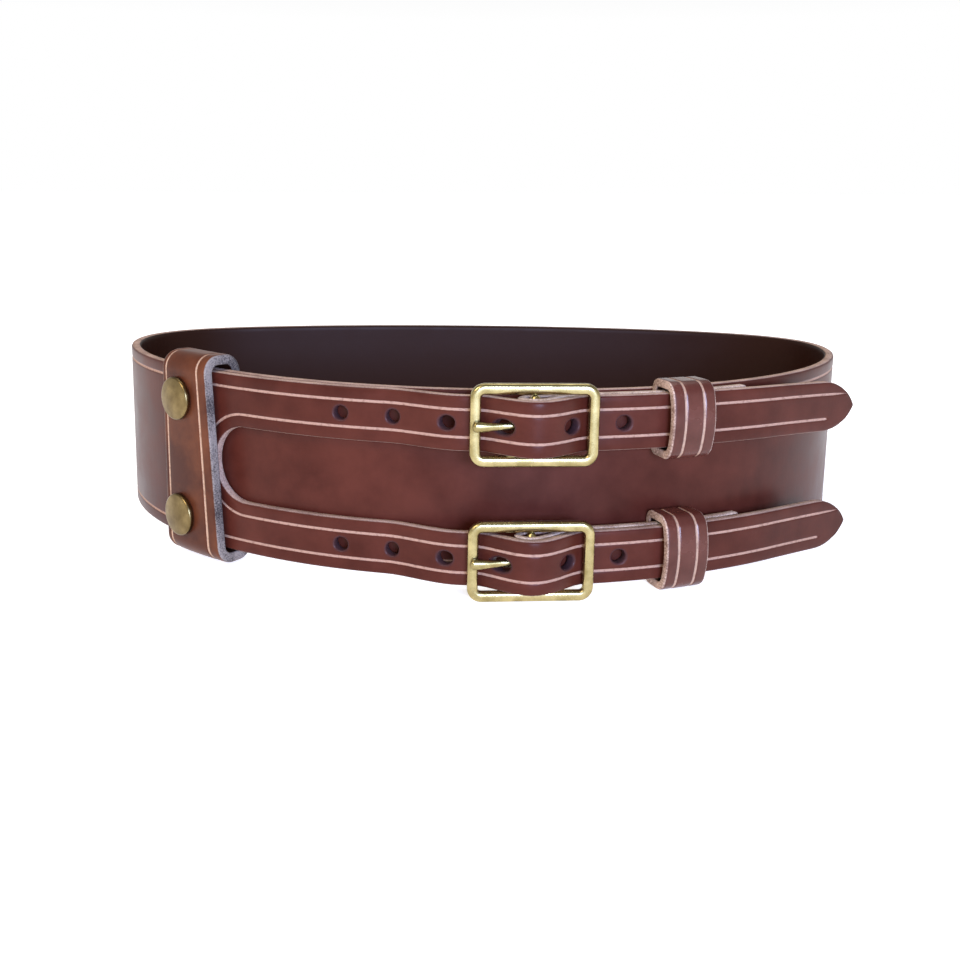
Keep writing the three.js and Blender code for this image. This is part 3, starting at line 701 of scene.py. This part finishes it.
def line_until(stop):
    """How deep a line is pressed at each rib: fully, until it fades out a distance before the nose."""
    return np.concatenate([np.ones(len(fan)), np.clip((tip_end - lengths - stop) / 2, 0, 1)])


def drooping(where, droop):
    """Lowers the free tip: by the droop times a power of the way along it."""
    way = np.clip((where[..., 0] - droop_start) / (tip_end - droop_start), 0, 1)
    return np.stack([where[..., 0], where[..., 1] - droop * way ** 1.5], -1)


columns = (len(edge_steps) - 1, len(edge_steps) - 1 + strap_columns)
line_stops = {"upper": (line_until(16), line_until(2)), "lower": (line_until(2), line_until(16))}
hole_sizes = [(prong_hole_shift, prong_half_long, prong_half_high) if i == prong_hole
              else (0.0, hole_radius, hole_radius) for i in range(hole_count)]
for name, droop in droops.items():
    where, depth, line, cut, inner = leaf_rings(*strap_sides, strap_columns, lines=line_stops[name])
    cut[-1] = 1.0
    if name == "lower":
        where[..., 1] = band_height - where[..., 1]
    where = drooping(where, droop)
    holes = [(start + len(fan), end + len(fan), (centre - moved, strap_middles[name]), *halves)
             for (start, end), centre, (moved, *halves) in zip(windows, hole_centres, hole_sizes)]
    add_leaf(band, band_path, (where, depth, line, cut, inner), holes, columns)
    close_end(band, band_path, where[-1], depth[-1])
band.piece("band_of_leather", band_leather, "band_leather", "belt_band")

# %% [markdown]
# ## Keepers
#
# A keeper is a short band of leather bent into a loop. Its section, a flat strip with rounded corners and
# two pressed lines, is carried round a rounded rectangle that stands square to the belt. The loop's outer
# side is crowned, because thick leather doesn't bend sharply.

# %% A rounded rectangle, and a keeper's section
def rounded_rectangle(half_wide, half_tall, radius, side_steps):
    """Points and outward directions once round a rectangle, from the start of its lower right corner.
    Each corner is a quarter circle of 13 points. side_steps says how many steps each side has, from
    the right side on."""
    quarter = np.linspace(0, np.pi / 2, 13)
    corners = np.array([(1, -1), (1, 1), (-1, 1), (-1, -1)])
    centres = corners * np.array([half_wide - radius, half_tall - radius])
    points, away = [], []
    for i, steps in enumerate(side_steps):
        angle = quarter + (i - 1) * np.pi / 2
        direction = np.stack([np.cos(angle), np.sin(angle)], -1)
        arc = centres[i] + radius * direction
        next_arc = centres[(i + 1) % 4] + radius * direction[-1]
        share = np.linspace(0, 1, steps + 1)[1:-1, None]
        points += [arc, arc[-1] + (next_arc - arc[-1]) * share]
        away += [direction, np.broadcast_to(direction[-1], (steps - 1, 2))]
    return np.concatenate(points), np.concatenate(away)


def keeper_section(width, leaf, line_places):
    """Once round a flat strip with rounded edges: place in the width, depth, and the marks. Points are
    dense at the edges and at the pressed lines. The depth is half the leaf, less the rounding and a
    line that is a parabola."""
    half = width / 2
    inset = np.array([0.0, 0.2, 0.7, 1.5])
    dense = np.concatenate([p + np.linspace(-0.9, 0.9, 7) for p in line_places])
    middle = np.linspace(-half + 3.0, half - 3.0, 9)
    middle = middle[np.abs(middle[:, None] - dense).min(1) > 0.5]
    wide = np.unique(np.concatenate([-half + inset, dense, middle, half - inset]))
    round_off = np.interp(half - np.abs(wide), [0, 0.2, 0.7], [0.55, 0.18, 0.0])
    line = sum(np.clip(1 - ((wide - p) / 0.62) ** 2, 0, 1) for p in line_places)
    side = np.linspace(leaf / 2 - 0.55, -leaf / 2 + 0.55, 7)[1:-1]
    places = np.concatenate([wide, np.full(5, half), wide[::-1], np.full(5, -half)])
    deep = np.concatenate([leaf / 2 - round_off - 0.38 * line, side,
                           (-leaf / 2 + round_off)[::-1], side[::-1]])
    edge = np.where(half - np.abs(wide) < 0.3, 1.0, 0.0)
    plain, zero = np.zeros(len(wide)), np.zeros(5)
    marks = {"line": np.concatenate([line, zero, plain, zero]),
             "cut": np.concatenate([edge, zero + 1, edge[::-1], zero + 1]),
             "inside": np.concatenate([plain, zero + 0.5, plain + 1, zero + 0.5])}
    return places, deep, marks

# %% A leather loop
def keeper(name, at, width, leaf, loop, crown, line_places, material, node_name, flare=0.0):
    """loop is (lowest out, highest out, lowest z, highest z, bend radius) of the loop's inside.
    The path is that rounded rectangle grown by half a leaf. crown pushes its outer side out by a
    parabola. Each point of the section is moved along the path's own outward direction, and along the
    belt by its place in the width. flare makes the loop wider the lower it is, at its far side."""
    low_out, high_out, low_z, high_z, bend = loop
    half_out, half_z = (high_out - low_out + leaf) / 2, (high_z - low_z + leaf) / 2
    path, _ = rounded_rectangle(half_out, half_z, bend + leaf / 2, (24, 4, 12, 4))
    crowned = np.clip(path[:, 0] / half_out, 0, 1) * np.clip(1 - (path[:, 1] / half_z) ** 2, 0, 1)
    path[:, 0] += crown * crowned
    path += np.array([low_out + high_out, low_z + high_z]) / 2
    along = np.roll(path, -1, 0) - np.roll(path, 1, 0)
    along /= np.linalg.norm(along, axis=1, keepdims=True)
    section_wide, section_deep, marks = keeper_section(width, leaf, line_places)
    out = path[:, :1] + along[:, 1:] * section_deep
    height = path[:, 1:] - along[:, :1] * section_deep
    lowness = 0.5 - (height - (low_z + high_z) / 2) / (high_z - low_z + 2 * leaf)
    length = at + section_wide + flare * lowness * (section_wide + width / 2) / width
    run = np.concatenate([[0], np.cumsum(np.linalg.norm(np.diff(path, axis=0), axis=1))])[:, None]
    lay = np.stack(np.broadcast_arrays(run, section_wide, section_deep + at), -1)
    sheet = Sheet()
    sheet.add(place(loop_path, length, out, height), lay, closed=(True, True), **marks)
    sheet.piece(name, material, "keeper_leather", node_name)

# %% The wide keeper
wide_inside = layer_step + leather / 2 + 1.6
wide_keeper_flare = 6.0
keeper("keeper_wide", wide_keeper_at, wide_keeper_width, wide_keeper_leather,
       loop=(-leather / 2 - layer_gap, wide_inside, -wide_keeper_below, band_height + wide_keeper_above, 3.2),
       crown=0.0, line_places=(-wide_keeper_width / 2 + 2.4, wide_keeper_width / 2 - 4.6),
       material=wide_keeper_hide, node_name="wide_keeper", flare=wide_keeper_flare)

# %% The small keepers
small_keeper_at, small_keeper_width, small_keeper_half_inside = 59.5, 16.0, 11.2
for name, middle in strap_middles.items():
    keeper("keeper_small_" + name, small_keeper_at, small_keeper_width, small_keeper_leather,
           loop=(chape_stand_off - leather / 2 - layer_gap, strap_over_chape + leather / 2 + layer_gap,
                 middle - small_keeper_half_inside, middle + small_keeper_half_inside, 1.2),
           crown=2.5, line_places=(-3.6, 3.4), material=small_keeper_hide,
           node_name="strap_keeper_" + name)

# %% [markdown]
# ## Buckle straps
#
# Each buckle hangs in a short strap that is folded round its middle bar. The fold is a leaf whose path
# goes along under the long strap, round the bar, and back on itself, where it is pared down to nothing.

# %% The folded path
def under_strap(length):
    """Outer face of the short strap: one gap below the long strap that lies on it."""
    return off_path(band_path, loop_length + length, -leather / 2 - layer_gap)


def leaf_path(points):
    """A path through dense points, read by the length along them. It goes straight on past its ends."""
    run = np.concatenate([[0], np.cumsum(np.linalg.norm(np.diff(points, axis=0), axis=1))])
    first = (points[1] - points[0]) / (run[1] - run[0])
    last = (points[-1] - points[-2]) / (run[-1] - run[-2])

    def read(length):
        """Straight between two points, and straight on before the first and past the last."""
        length = np.asarray(length, float)
        inside = np.stack([np.interp(length, run, points[:, i]) for i in (0, 1)], -1)
        before, after = np.minimum(length, 0), np.maximum(length - run[-1], 0)
        return inside + first * before[..., None] + last * after[..., None]
    return read, run

# %% The tail under the long strap, and the bend round the bar
chape_end_at, fold_back_run = 88.0, 16.0
leaf_thickness = smooth_table([(buckle_at + 3, fold_leaf), (buckle_at + bar_inside, leather)])
tail = np.linspace(chape_end_at, buckle_at + 0.2, 300)
tail_thick = leaf_thickness(tail)
tail_points = under_strap(tail) - outward_of(band_path, loop_length + tail) * tail_thick[:, None] / 2
bend = np.linspace(np.pi / 2, 3 * np.pi / 2, 60)[1:-1]
bend_points = beside(buckle_at + (fold_reach + fold_slack - fold_leaf / 2) * np.cos(bend),
                     frame_out + (fold_reach - fold_leaf / 2) * np.sin(bend))

# %% The part that comes back, pared down to the room between the tail and the keeper's back
fold_back = smooth_table([(buckle_at, frame_out - fold_reach),
                          (buckle_at + bar_inside, chape_stand_off - leather / 2)])
back = np.linspace(buckle_at, buckle_at + fold_back_run, 80)
front_inner = under_strap(back) - outward_of(band_path, loop_length + back) * leaf_thickness(back)[:, None]
back_face = beside(back, fold_back(back))
back_room = np.linalg.norm(front_inner - back_face, axis=1)
back_thick = np.minimum(np.maximum(back_room - 0.1, 0.4), fold_leaf)
back_points = back_face + (front_inner - back_face) * (back_thick / 2 / np.maximum(back_room, 0.5))[:, None]
fold_points = np.concatenate([tail_points, bend_points, back_points])
fold_thick = np.concatenate([tail_thick, np.full(len(bend), fold_leaf), back_thick])
fold_path, fold_run = leaf_path(fold_points)
bar_run = fold_run[len(tail_points)]
print("a buckle strap is cut", round(fold_run[-1], 1), "mm long")

# %% The slot for the prong, and the folded leaf
fold_steps = np.array([0.0, 0.28, 0.9])
fold_slot = (bar_run - 5.5, bar_run + 14.0)
fold_slot_steps, fold_columns, slot_share = 24, (5, 9), 0.72


def slot_window(sheet, ribs, heights, half):
    """The prong's slot: a long window whose rings go from the outer face to the inner face. The two
    middle rings are drawn in towards the slot's middle height."""
    rib_index, tall = window_border(np.arange(len(ribs)), heights)
    centre = (heights[0] + heights[-1]) / 2
    narrow = centre + (tall - centre) * slot_share
    height = np.stack([tall, narrow, narrow, tall])
    depth = half[rib_index] * np.array([1, 1, -1, -1])[:, None]
    length = np.broadcast_to(ribs[rib_index], depth.shape)
    lay = np.stack([length, height, depth], -1)
    sheet.add(place(fold_path, length, depth, height), lay, closed=(False, True), cut=1.0)


def folded_leaf(name, low_height):
    """A leaf on the folded path. Its depth is half the path's thickness less the edges' rounding,
    which is held back where the leaf is pared thin."""
    tail_ribs = np.concatenate([[0, 0.3], steps_between(0.8, fold_slot[0], 2.5)])
    ribs = np.concatenate([tail_ribs, np.linspace(*fold_slot, fold_slot_steps + 1)[1:],
                           steps_between(fold_slot[1], fold_run[-1], 1.5)[1:]])
    heights = np.concatenate([low_height + fold_steps, low_height + strap_height / 2 + np.linspace(-7, 7, 9),
                              low_height + strap_height - fold_steps[::-1]])
    half = np.interp(ribs, fold_run, fold_thick)[:, None] / 2
    drop = np.minimum(np.concatenate([[0.7, 0.2, 0], np.zeros(9), [0, 0.2, 0.7]]), half * 0.6)
    tall = np.concatenate([heights, [low_height + strap_height], heights[::-1], [low_height]])
    depth = np.concatenate([half - drop, half * 0, (drop - half)[:, ::-1], half * 0], 1)
    face_cut = np.concatenate([[1, 0.7], np.zeros(11), [0.7, 1]])
    cut = np.repeat(np.concatenate([face_cut, [1], face_cut, [1]])[None], len(ribs), 0)
    cut[0] = 1.0
    start, (first, last) = len(tail_ribs) - 1, fold_columns
    end, back = start + fold_slot_steps, 2 * len(heights) - last
    skip = np.zeros(depth.shape, bool)
    skip[start:end, first:last] = True
    skip[start:end, back:back + last - first] = True
    lay = np.stack(np.broadcast_arrays(ribs[:, None], tall, depth), -1)
    sheet = Sheet()
    sheet.add(place(fold_path, lay[..., 0], depth, tall), lay, closed=(False, True), skip=skip, cut=cut)
    slot_window(sheet, ribs[start:end + 1], heights[first:last + 1], half[start:end + 1, 0])
    for row in (0, -1):
        close_end(sheet, fold_path, lay[row, :, :2], depth[row])
    sheet.piece("buckle_leaf_" + name, short_strap_leather, "band_leather", "buckle_strap_" + name)


for name, low_height in strap_lows.items():
    folded_leaf(name, low_height)

# %% [markdown]
# ## Buckles
#
# A buckle frame is bent from square wire with softened corners, so a rounded square section is carried
# round a rounded rectangle. Its middle bar is a plain round one that is slimmer where it meets the frame.
# The buckle is flat while the belt is curved, so it gets a flat place of its own in front of the straps.

# %% A flat place at the buckle, and a rounded section
def axes_at(length):
    """The loop's point at a length, the direction along it there, and the direction outwards."""
    here = np.array(float(length))
    along = slope(loop_path, here, 0.4)
    return loop_path(here), along, np.array([along[1], -along[0]])


def at_buckle(across, out, height):
    """World point of (across the buckle, outwards, height), on the flat plane of the buckle."""
    point, along, outwards = axes_at(buckle_at)
    origin = point + outwards * frame_out
    plan = origin + np.asarray(across)[..., None] * along + np.asarray(out)[..., None] * outwards
    height = np.broadcast_to(height, plan.shape[:-1])
    return to_world(np.concatenate([plan, height[..., None]], -1))


def rounded_section(half_side, half_front, power, count):
    """A superellipse: the sides get flatter and the corners tighter as the power grows."""
    angle = np.linspace(0, 2 * np.pi, count, endpoint=False)
    c, s = np.cos(angle), np.sin(angle)
    return np.stack([half_side * np.sign(c) * np.abs(c) ** (2 / power),
                     half_front * np.sign(s) * np.abs(s) ** (2 / power)], -1)

# %% The buckle frames and their middle bars
frame_corner, frame_flatness = 3.3, 0.92


def buckle(name, middle_height):
    """The frame's path is a rounded rectangle. Each section point lies beside it by its first number,
    and in front of it by its second. The bar is a round section that slims and sinks at its two ends."""
    half_x, half_z = (buckle_width - buckle_bar) / 2, (buckle_height - buckle_bar) / 2
    path, away = rounded_rectangle(half_x, half_z, frame_corner, (12, 12, 12, 12))
    section = rounded_section(buckle_bar / 2, buckle_bar / 2 * frame_flatness, 2.7, 28)
    across = path[:, None, 0] + away[:, None, 0] * section[:, 0]
    height = middle_height + path[:, None, 1] + away[:, None, 1] * section[:, 0]
    sheet = Sheet()
    sheet.add(at_buckle(across, np.broadcast_to(section[:, 1], across.shape), height), closed=(True, True))
    bar = rounded_section(centre_bar / 2, centre_bar / 2, 2.0, 20)
    rise = np.array([-half_z, -10.6, -10.0, 0.0, 10.0, 10.6, half_z])[:, None]
    slim = np.array([0.5, 0.5, 1.0, 1.0, 1.0, 0.5, 0.5])[:, None]
    bar_points = at_buckle(bar[:, 0] * slim, bar[:, 1] * slim - (1 - slim) * 1.4, middle_height + rise)
    sheet.add(bar_points, closed=(False, True), fill_ends=True)
    sheet.piece("buckle_frame_" + name, buckle_brass, "antique_brass", "buckle_" + name)


for name, middle_height in strap_middles.items():
    buckle(name, middle_height)

# %% [markdown]
# ## Prongs
#
# The prong is a wire that goes round the middle bar, through a hole in the strap, and rests on the left
# bar, a little thicker at its tip. Its path lies in the plane square to the bar. A few guide points give the
# arm, and a moving average rounds it, because a bent wire has no sharp turns.

# %% The prong's path
prong_rest = buckle_bar / 2 * frame_flatness + 0.1
prong_cap = 1.3


def smooth_arm(guide):
    """Forty points along straight lines between the guide points, each the mean of nine neighbours."""
    share, knots = np.linspace(0, 1, 40), np.linspace(0, 1, len(guide))
    arm = np.stack([np.interp(share, knots, guide[:, i]) for i in (0, 1)], -1)
    padded = np.concatenate([np.repeat(arm[:1], 4, 0), arm, np.repeat(arm[-1:], 4, 0)])
    arm = np.stack([np.convolve(padded[:, i], np.ones(9) / 9, "valid") for i in (0, 1)], -1)
    arm[0], arm[-1] = guide[0], guide[-1]
    return arm


def prong_path():
    """Points (across, outwards): most of a circle round the bar, and then the arm."""
    eye = np.linspace(np.radians(-150), np.radians(95), 40)
    eye_points = (centre_bar / 2 + layer_gap + 0.9) * np.stack([np.cos(eye), np.sin(eye)], -1)
    guide = np.array([eye_points[-1], (-3.5, 2.2), (-9.0, 1.9), (-14.0, prong_rest + 0.75),
                      (-18.0, prong_rest + 1.35), (-20.9, prong_rest + 1.35)])
    return np.concatenate([eye_points, smooth_arm(guide)[1:]])

# %% The prongs
def prong(name, middle_height):
    """An oval section along the path, whose width and thickness change with the place across the
    buckle. The last six rings shrink as a quarter circle does, which rounds the tip."""
    path = prong_path()
    along = np.gradient(path, axis=0)
    along /= np.linalg.norm(along, axis=1, keepdims=True)
    side = np.stack([-along[:, 1], along[:, 0]], -1)
    wide = np.interp(path[:, 0], [-22, -19, -15, -11, -4, 0], [1.9, 1.8, 1.35, 1.3, 1.3, 1.4])
    thick = np.interp(path[:, 0], [-22, -19, -11, 0], [1.3, 1.3, 0.9, 0.9])
    cap = np.sin(np.linspace(0, np.pi / 2, 7))[1:]
    size = np.concatenate([np.ones(len(path)), np.sqrt(np.clip(1 - cap ** 2, 0.0004, 1))])
    path = np.concatenate([path, path[-1] + along[-1] * (prong_cap * cap)[:, None]])
    side = np.concatenate([side, np.repeat(side[-1:], len(cap), 0)])
    wide = np.concatenate([wide, np.repeat(wide[-1:], len(cap))]) * size
    thick = np.concatenate([thick, np.repeat(thick[-1:], len(cap))]) * size
    section = rounded_section(1.0, 1.0, 2.3, 18)
    across = path[:, None, 0] + side[:, None, 0] * section[:, 0] * thick[:, None]
    out = path[:, None, 1] + side[:, None, 1] * section[:, 0] * thick[:, None]
    height = middle_height + section[:, 1] * wide[:, None]
    sheet = Sheet()
    sheet.add(at_buckle(across, out, height), closed=(False, True), fill_ends=True)
    sheet.piece("prong_wire_" + name, buckle_brass, "antique_brass", "prong_" + name)


for name, middle_height in strap_middles.items():
    prong(name, middle_height)

# %% [markdown]
# ## Caps and rivets
#
# The domed caps and the rivets are round, so each is a profile turned about the direction outwards. A cap
# has a straight skirt, a rounded shoulder and a low dome, and stands on a post through the keeper. The
# rivets are hidden under the small keepers and are as plain as they can be.

# %% Turned shapes
def turned(sheet, length, out, height, profile, count=48):
    """A profile of (radius, distance outwards) turned about the outward direction at a place."""
    point, along, outwards = axes_at(length)
    angle = np.linspace(0, 2 * np.pi, count, endpoint=False)
    radius, distance = np.array(profile, float).T
    radius = np.maximum(radius, 0.01)
    plan = (point + (out + distance)[:, None, None] * outwards
            + (radius[:, None] * np.cos(angle))[..., None] * along)
    tall = height + radius[:, None] * np.sin(angle)
    points = to_world(np.concatenate([plan, tall[..., None]], -1))
    sheet.add(points, closed=(False, True), fill_ends=True)


def cap_profile(radius, skirt, dome, shoulder):
    """A cap: a straight skirt, a quarter round shoulder and a low dome, then the flat underside."""
    quarter = np.linspace(0, np.pi / 2, 7)
    edge = [(radius - shoulder * (1 - np.cos(a)), skirt + shoulder * np.sin(a)) for a in quarter]
    top = np.linspace(1, 0, 9)[1:]
    crown = [((radius - shoulder) * t, skirt + shoulder + dome * (1 - t * t)) for t in top]
    return [(0.0, 0.0), (radius - 0.35, 0.0), (radius, 0.3)] + edge + crown

# %% The caps on the wide keeper
stud_at, cap_spacing, post_radius = -132.5, 47, 2.0
keeper_face = wide_inside + wide_keeper_leather
post_top = keeper_face - layer_step + 0.5
for name, side in {"upper": 1, "lower": -1}.items():
    cap_height = (band_height + side * cap_spacing) / 2
    stud = Sheet()
    turned(stud, stud_at, keeper_face + 0.15, cap_height, cap_profile(8.5, 1.3, 0.75, 0.9))
    turned(stud, stud_at, layer_step, cap_height,
           [(0, 0), (post_radius, 0), (post_radius, post_top), (0, post_top)], 20)
    stud.piece("cap_" + name, cap_brass, "antique_brass", "keeper_stud_" + name)

# %% The rivets under the small keepers
rivet_profile = [(0, -0.55), (2.4, -0.5), (4.0, -0.3), (4.5, 0.0), (4.5, 0.9), (2.0, 0.9), (2.0, 11.0),
                 (4.5, 11.0), (4.5, 11.75), (0, 11.75)]
for name, middle_height in strap_middles.items():
    rivet = Sheet()
    turned(rivet, small_keeper_at, -leather / 2, middle_height, rivet_profile, 40)
    rivet.piece("rivet_" + name, cap_brass, "antique_brass", "strap_rivet_" + name)

# %% [markdown]
# ## Floor and walls
#
# The belt stands in a plain pale studio. The floor glows, as a light table does, so that the floor and
# the lit walls are one pale ground from every side. The ceiling is darker, because a bright one lays
# a grey veil on the leather.

# %% The floor
floor_half, floor_glow = 6, 0.72
floor_material, _, floor_shader = new_material("pale_floor")
floor_shader.inputs["Base Color"].default_value = (0.8, 0.8, 0.8, 1)
floor_shader.inputs["Emission Color"].default_value = (1, 1, 1, 1)
floor_shader.inputs["Emission Strength"].default_value = floor_glow
floor_shader.inputs["Roughness"].default_value = 0.9
floor_shader.inputs["Specular IOR Level"].default_value = 0.0
floor_mesh = bpy.data.meshes.new("floor")
floor_corners = [(x * floor_half, y * floor_half, 0) for x, y in ((-1, -1), (1, -1), (1, 1), (-1, 1))]
floor_mesh.from_pydata(floor_corners, [], [(0, 1, 2, 3)])
floor_mesh.materials.append(floor_material)
floor = bpy.data.objects.new("floor", floor_mesh)
bpy.context.scene.collection.objects.link(floor)
print("the floor is", 2 * floor_half, "m wide")

# %% Walls that are lit to white, and a darker ceiling
wall_top, ceiling_from, wall_light, ceiling_light = 0.12, 0.6, 1.0, 0.3
world = bpy.data.worlds.new("studio")
world.use_nodes = True
world_tree = world.node_tree
background = world_tree.nodes["Background"]
direction = node(world_tree, "TexCoord").outputs["Generated"]
upward = node(world_tree, "SeparateXYZ", {0: direction}).outputs["Z"]
brightness = ramp(world_tree, upward, wall_top, ceiling_from, wall_light, ceiling_light)
world_tree.links.new(brightness, background.inputs["Strength"])
background.inputs["Color"].default_value = (1, 1, 1, 1)
bpy.context.scene.world = world
bpy.context.scene.view_settings.view_transform = "Standard"
print("the walls shine", wall_light, "and the ceiling", ceiling_light)

# %% [markdown]
# ## Lights
#
# A large warm light from the left gives the leather its soft sheen there. A small cool one from the front
# right stands for the window that the brass reflects. A weak one from above lights the far rim.

# %% The lights
def look(direction, up=(0, 0, 1)):
    """Rotation whose -Z points along a direction."""
    back = -np.array(direction, float) / np.linalg.norm(direction)
    right = np.cross(up, back)
    right /= np.linalg.norm(right)
    return np.stack([right, np.cross(back, right), back], 1)


def soft_light(name, place_at, target, size, power, colour=(1, 1, 1)):
    """A rectangular lamp at a place, turned to a target."""
    lamp = bpy.data.lights.new(name, "AREA")
    lamp.shape = "RECTANGLE"
    lamp.size, lamp.size_y = size
    lamp.energy, lamp.color = power, colour
    made = bpy.data.objects.new(name, lamp)
    turned_to = Matrix(look(np.array(target) - np.array(place_at)).tolist()).to_4x4()
    made.matrix_world = Matrix.Translation(place_at) @ turned_to
    bpy.context.scene.collection.objects.link(made)
    print(name, "light:", power, "W")


soft_light("key", (-0.9, -0.9, 1.2), (0, 0, 0.03), (0.9, 0.7), 14, (1.0, 0.86, 0.70))
soft_light("window", (0.26, -1.25, 0.32), (0, 0, 0.04), (0.5, 0.3), 28, (0.40, 0.55, 1.0))
soft_light("top", (0.1, 0.5, 1.4), (0, 0, 0.03), (1.2, 0.8), 6)

# %% [markdown]
# ## Camera
#
# The camera stands a little left of the middle and looks slightly down, as the one that took the
# photograph. Its place was worked out for the belt before it leans, so it is turned by the lean as well.

# %% The camera, found from the rims and the silhouettes in the photograph
image_size, focal_pixels, shift_pixels, sensor_width = 960, 1120, -80, 36
camera_across, camera_back, camera_height = -5.55, -508.6, 141.86
yaw, pitch, roll = np.radians(-3.63), np.radians(10.768), np.radians(1.1)
forward = np.array([0, np.cos(pitch), -np.sin(pitch)])
right = np.array([1.0, 0, 0])
up = np.cross(right, forward)
rolled_right = np.cos(roll) * right + np.sin(roll) * up
rolled_up = -np.sin(roll) * right + np.cos(roll) * up
around = np.array([[np.cos(yaw), -np.sin(yaw), 0], [np.sin(yaw), np.cos(yaw), 0], [0, 0, 1]])
axes = lean @ around @ np.stack([rolled_right, rolled_up, -forward], 1)
eye_place = to_world(around @ np.array([camera_across, camera_back, 0]) + np.array([0, 0, camera_height]))
camera_data = bpy.data.cameras.new("camera")
camera_data.lens = sensor_width * focal_pixels / image_size
camera_data.shift_y = shift_pixels / image_size
camera = bpy.data.objects.new("camera", camera_data)
camera.matrix_world = Matrix.Translation(eye_place) @ Matrix(axes.tolist()).to_4x4()
bpy.context.scene.collection.objects.link(camera)
bpy.context.scene.camera = camera
print("camera at", eye_place.round(3).tolist(), "with a lens of", round(camera_data.lens, 1), "mm")
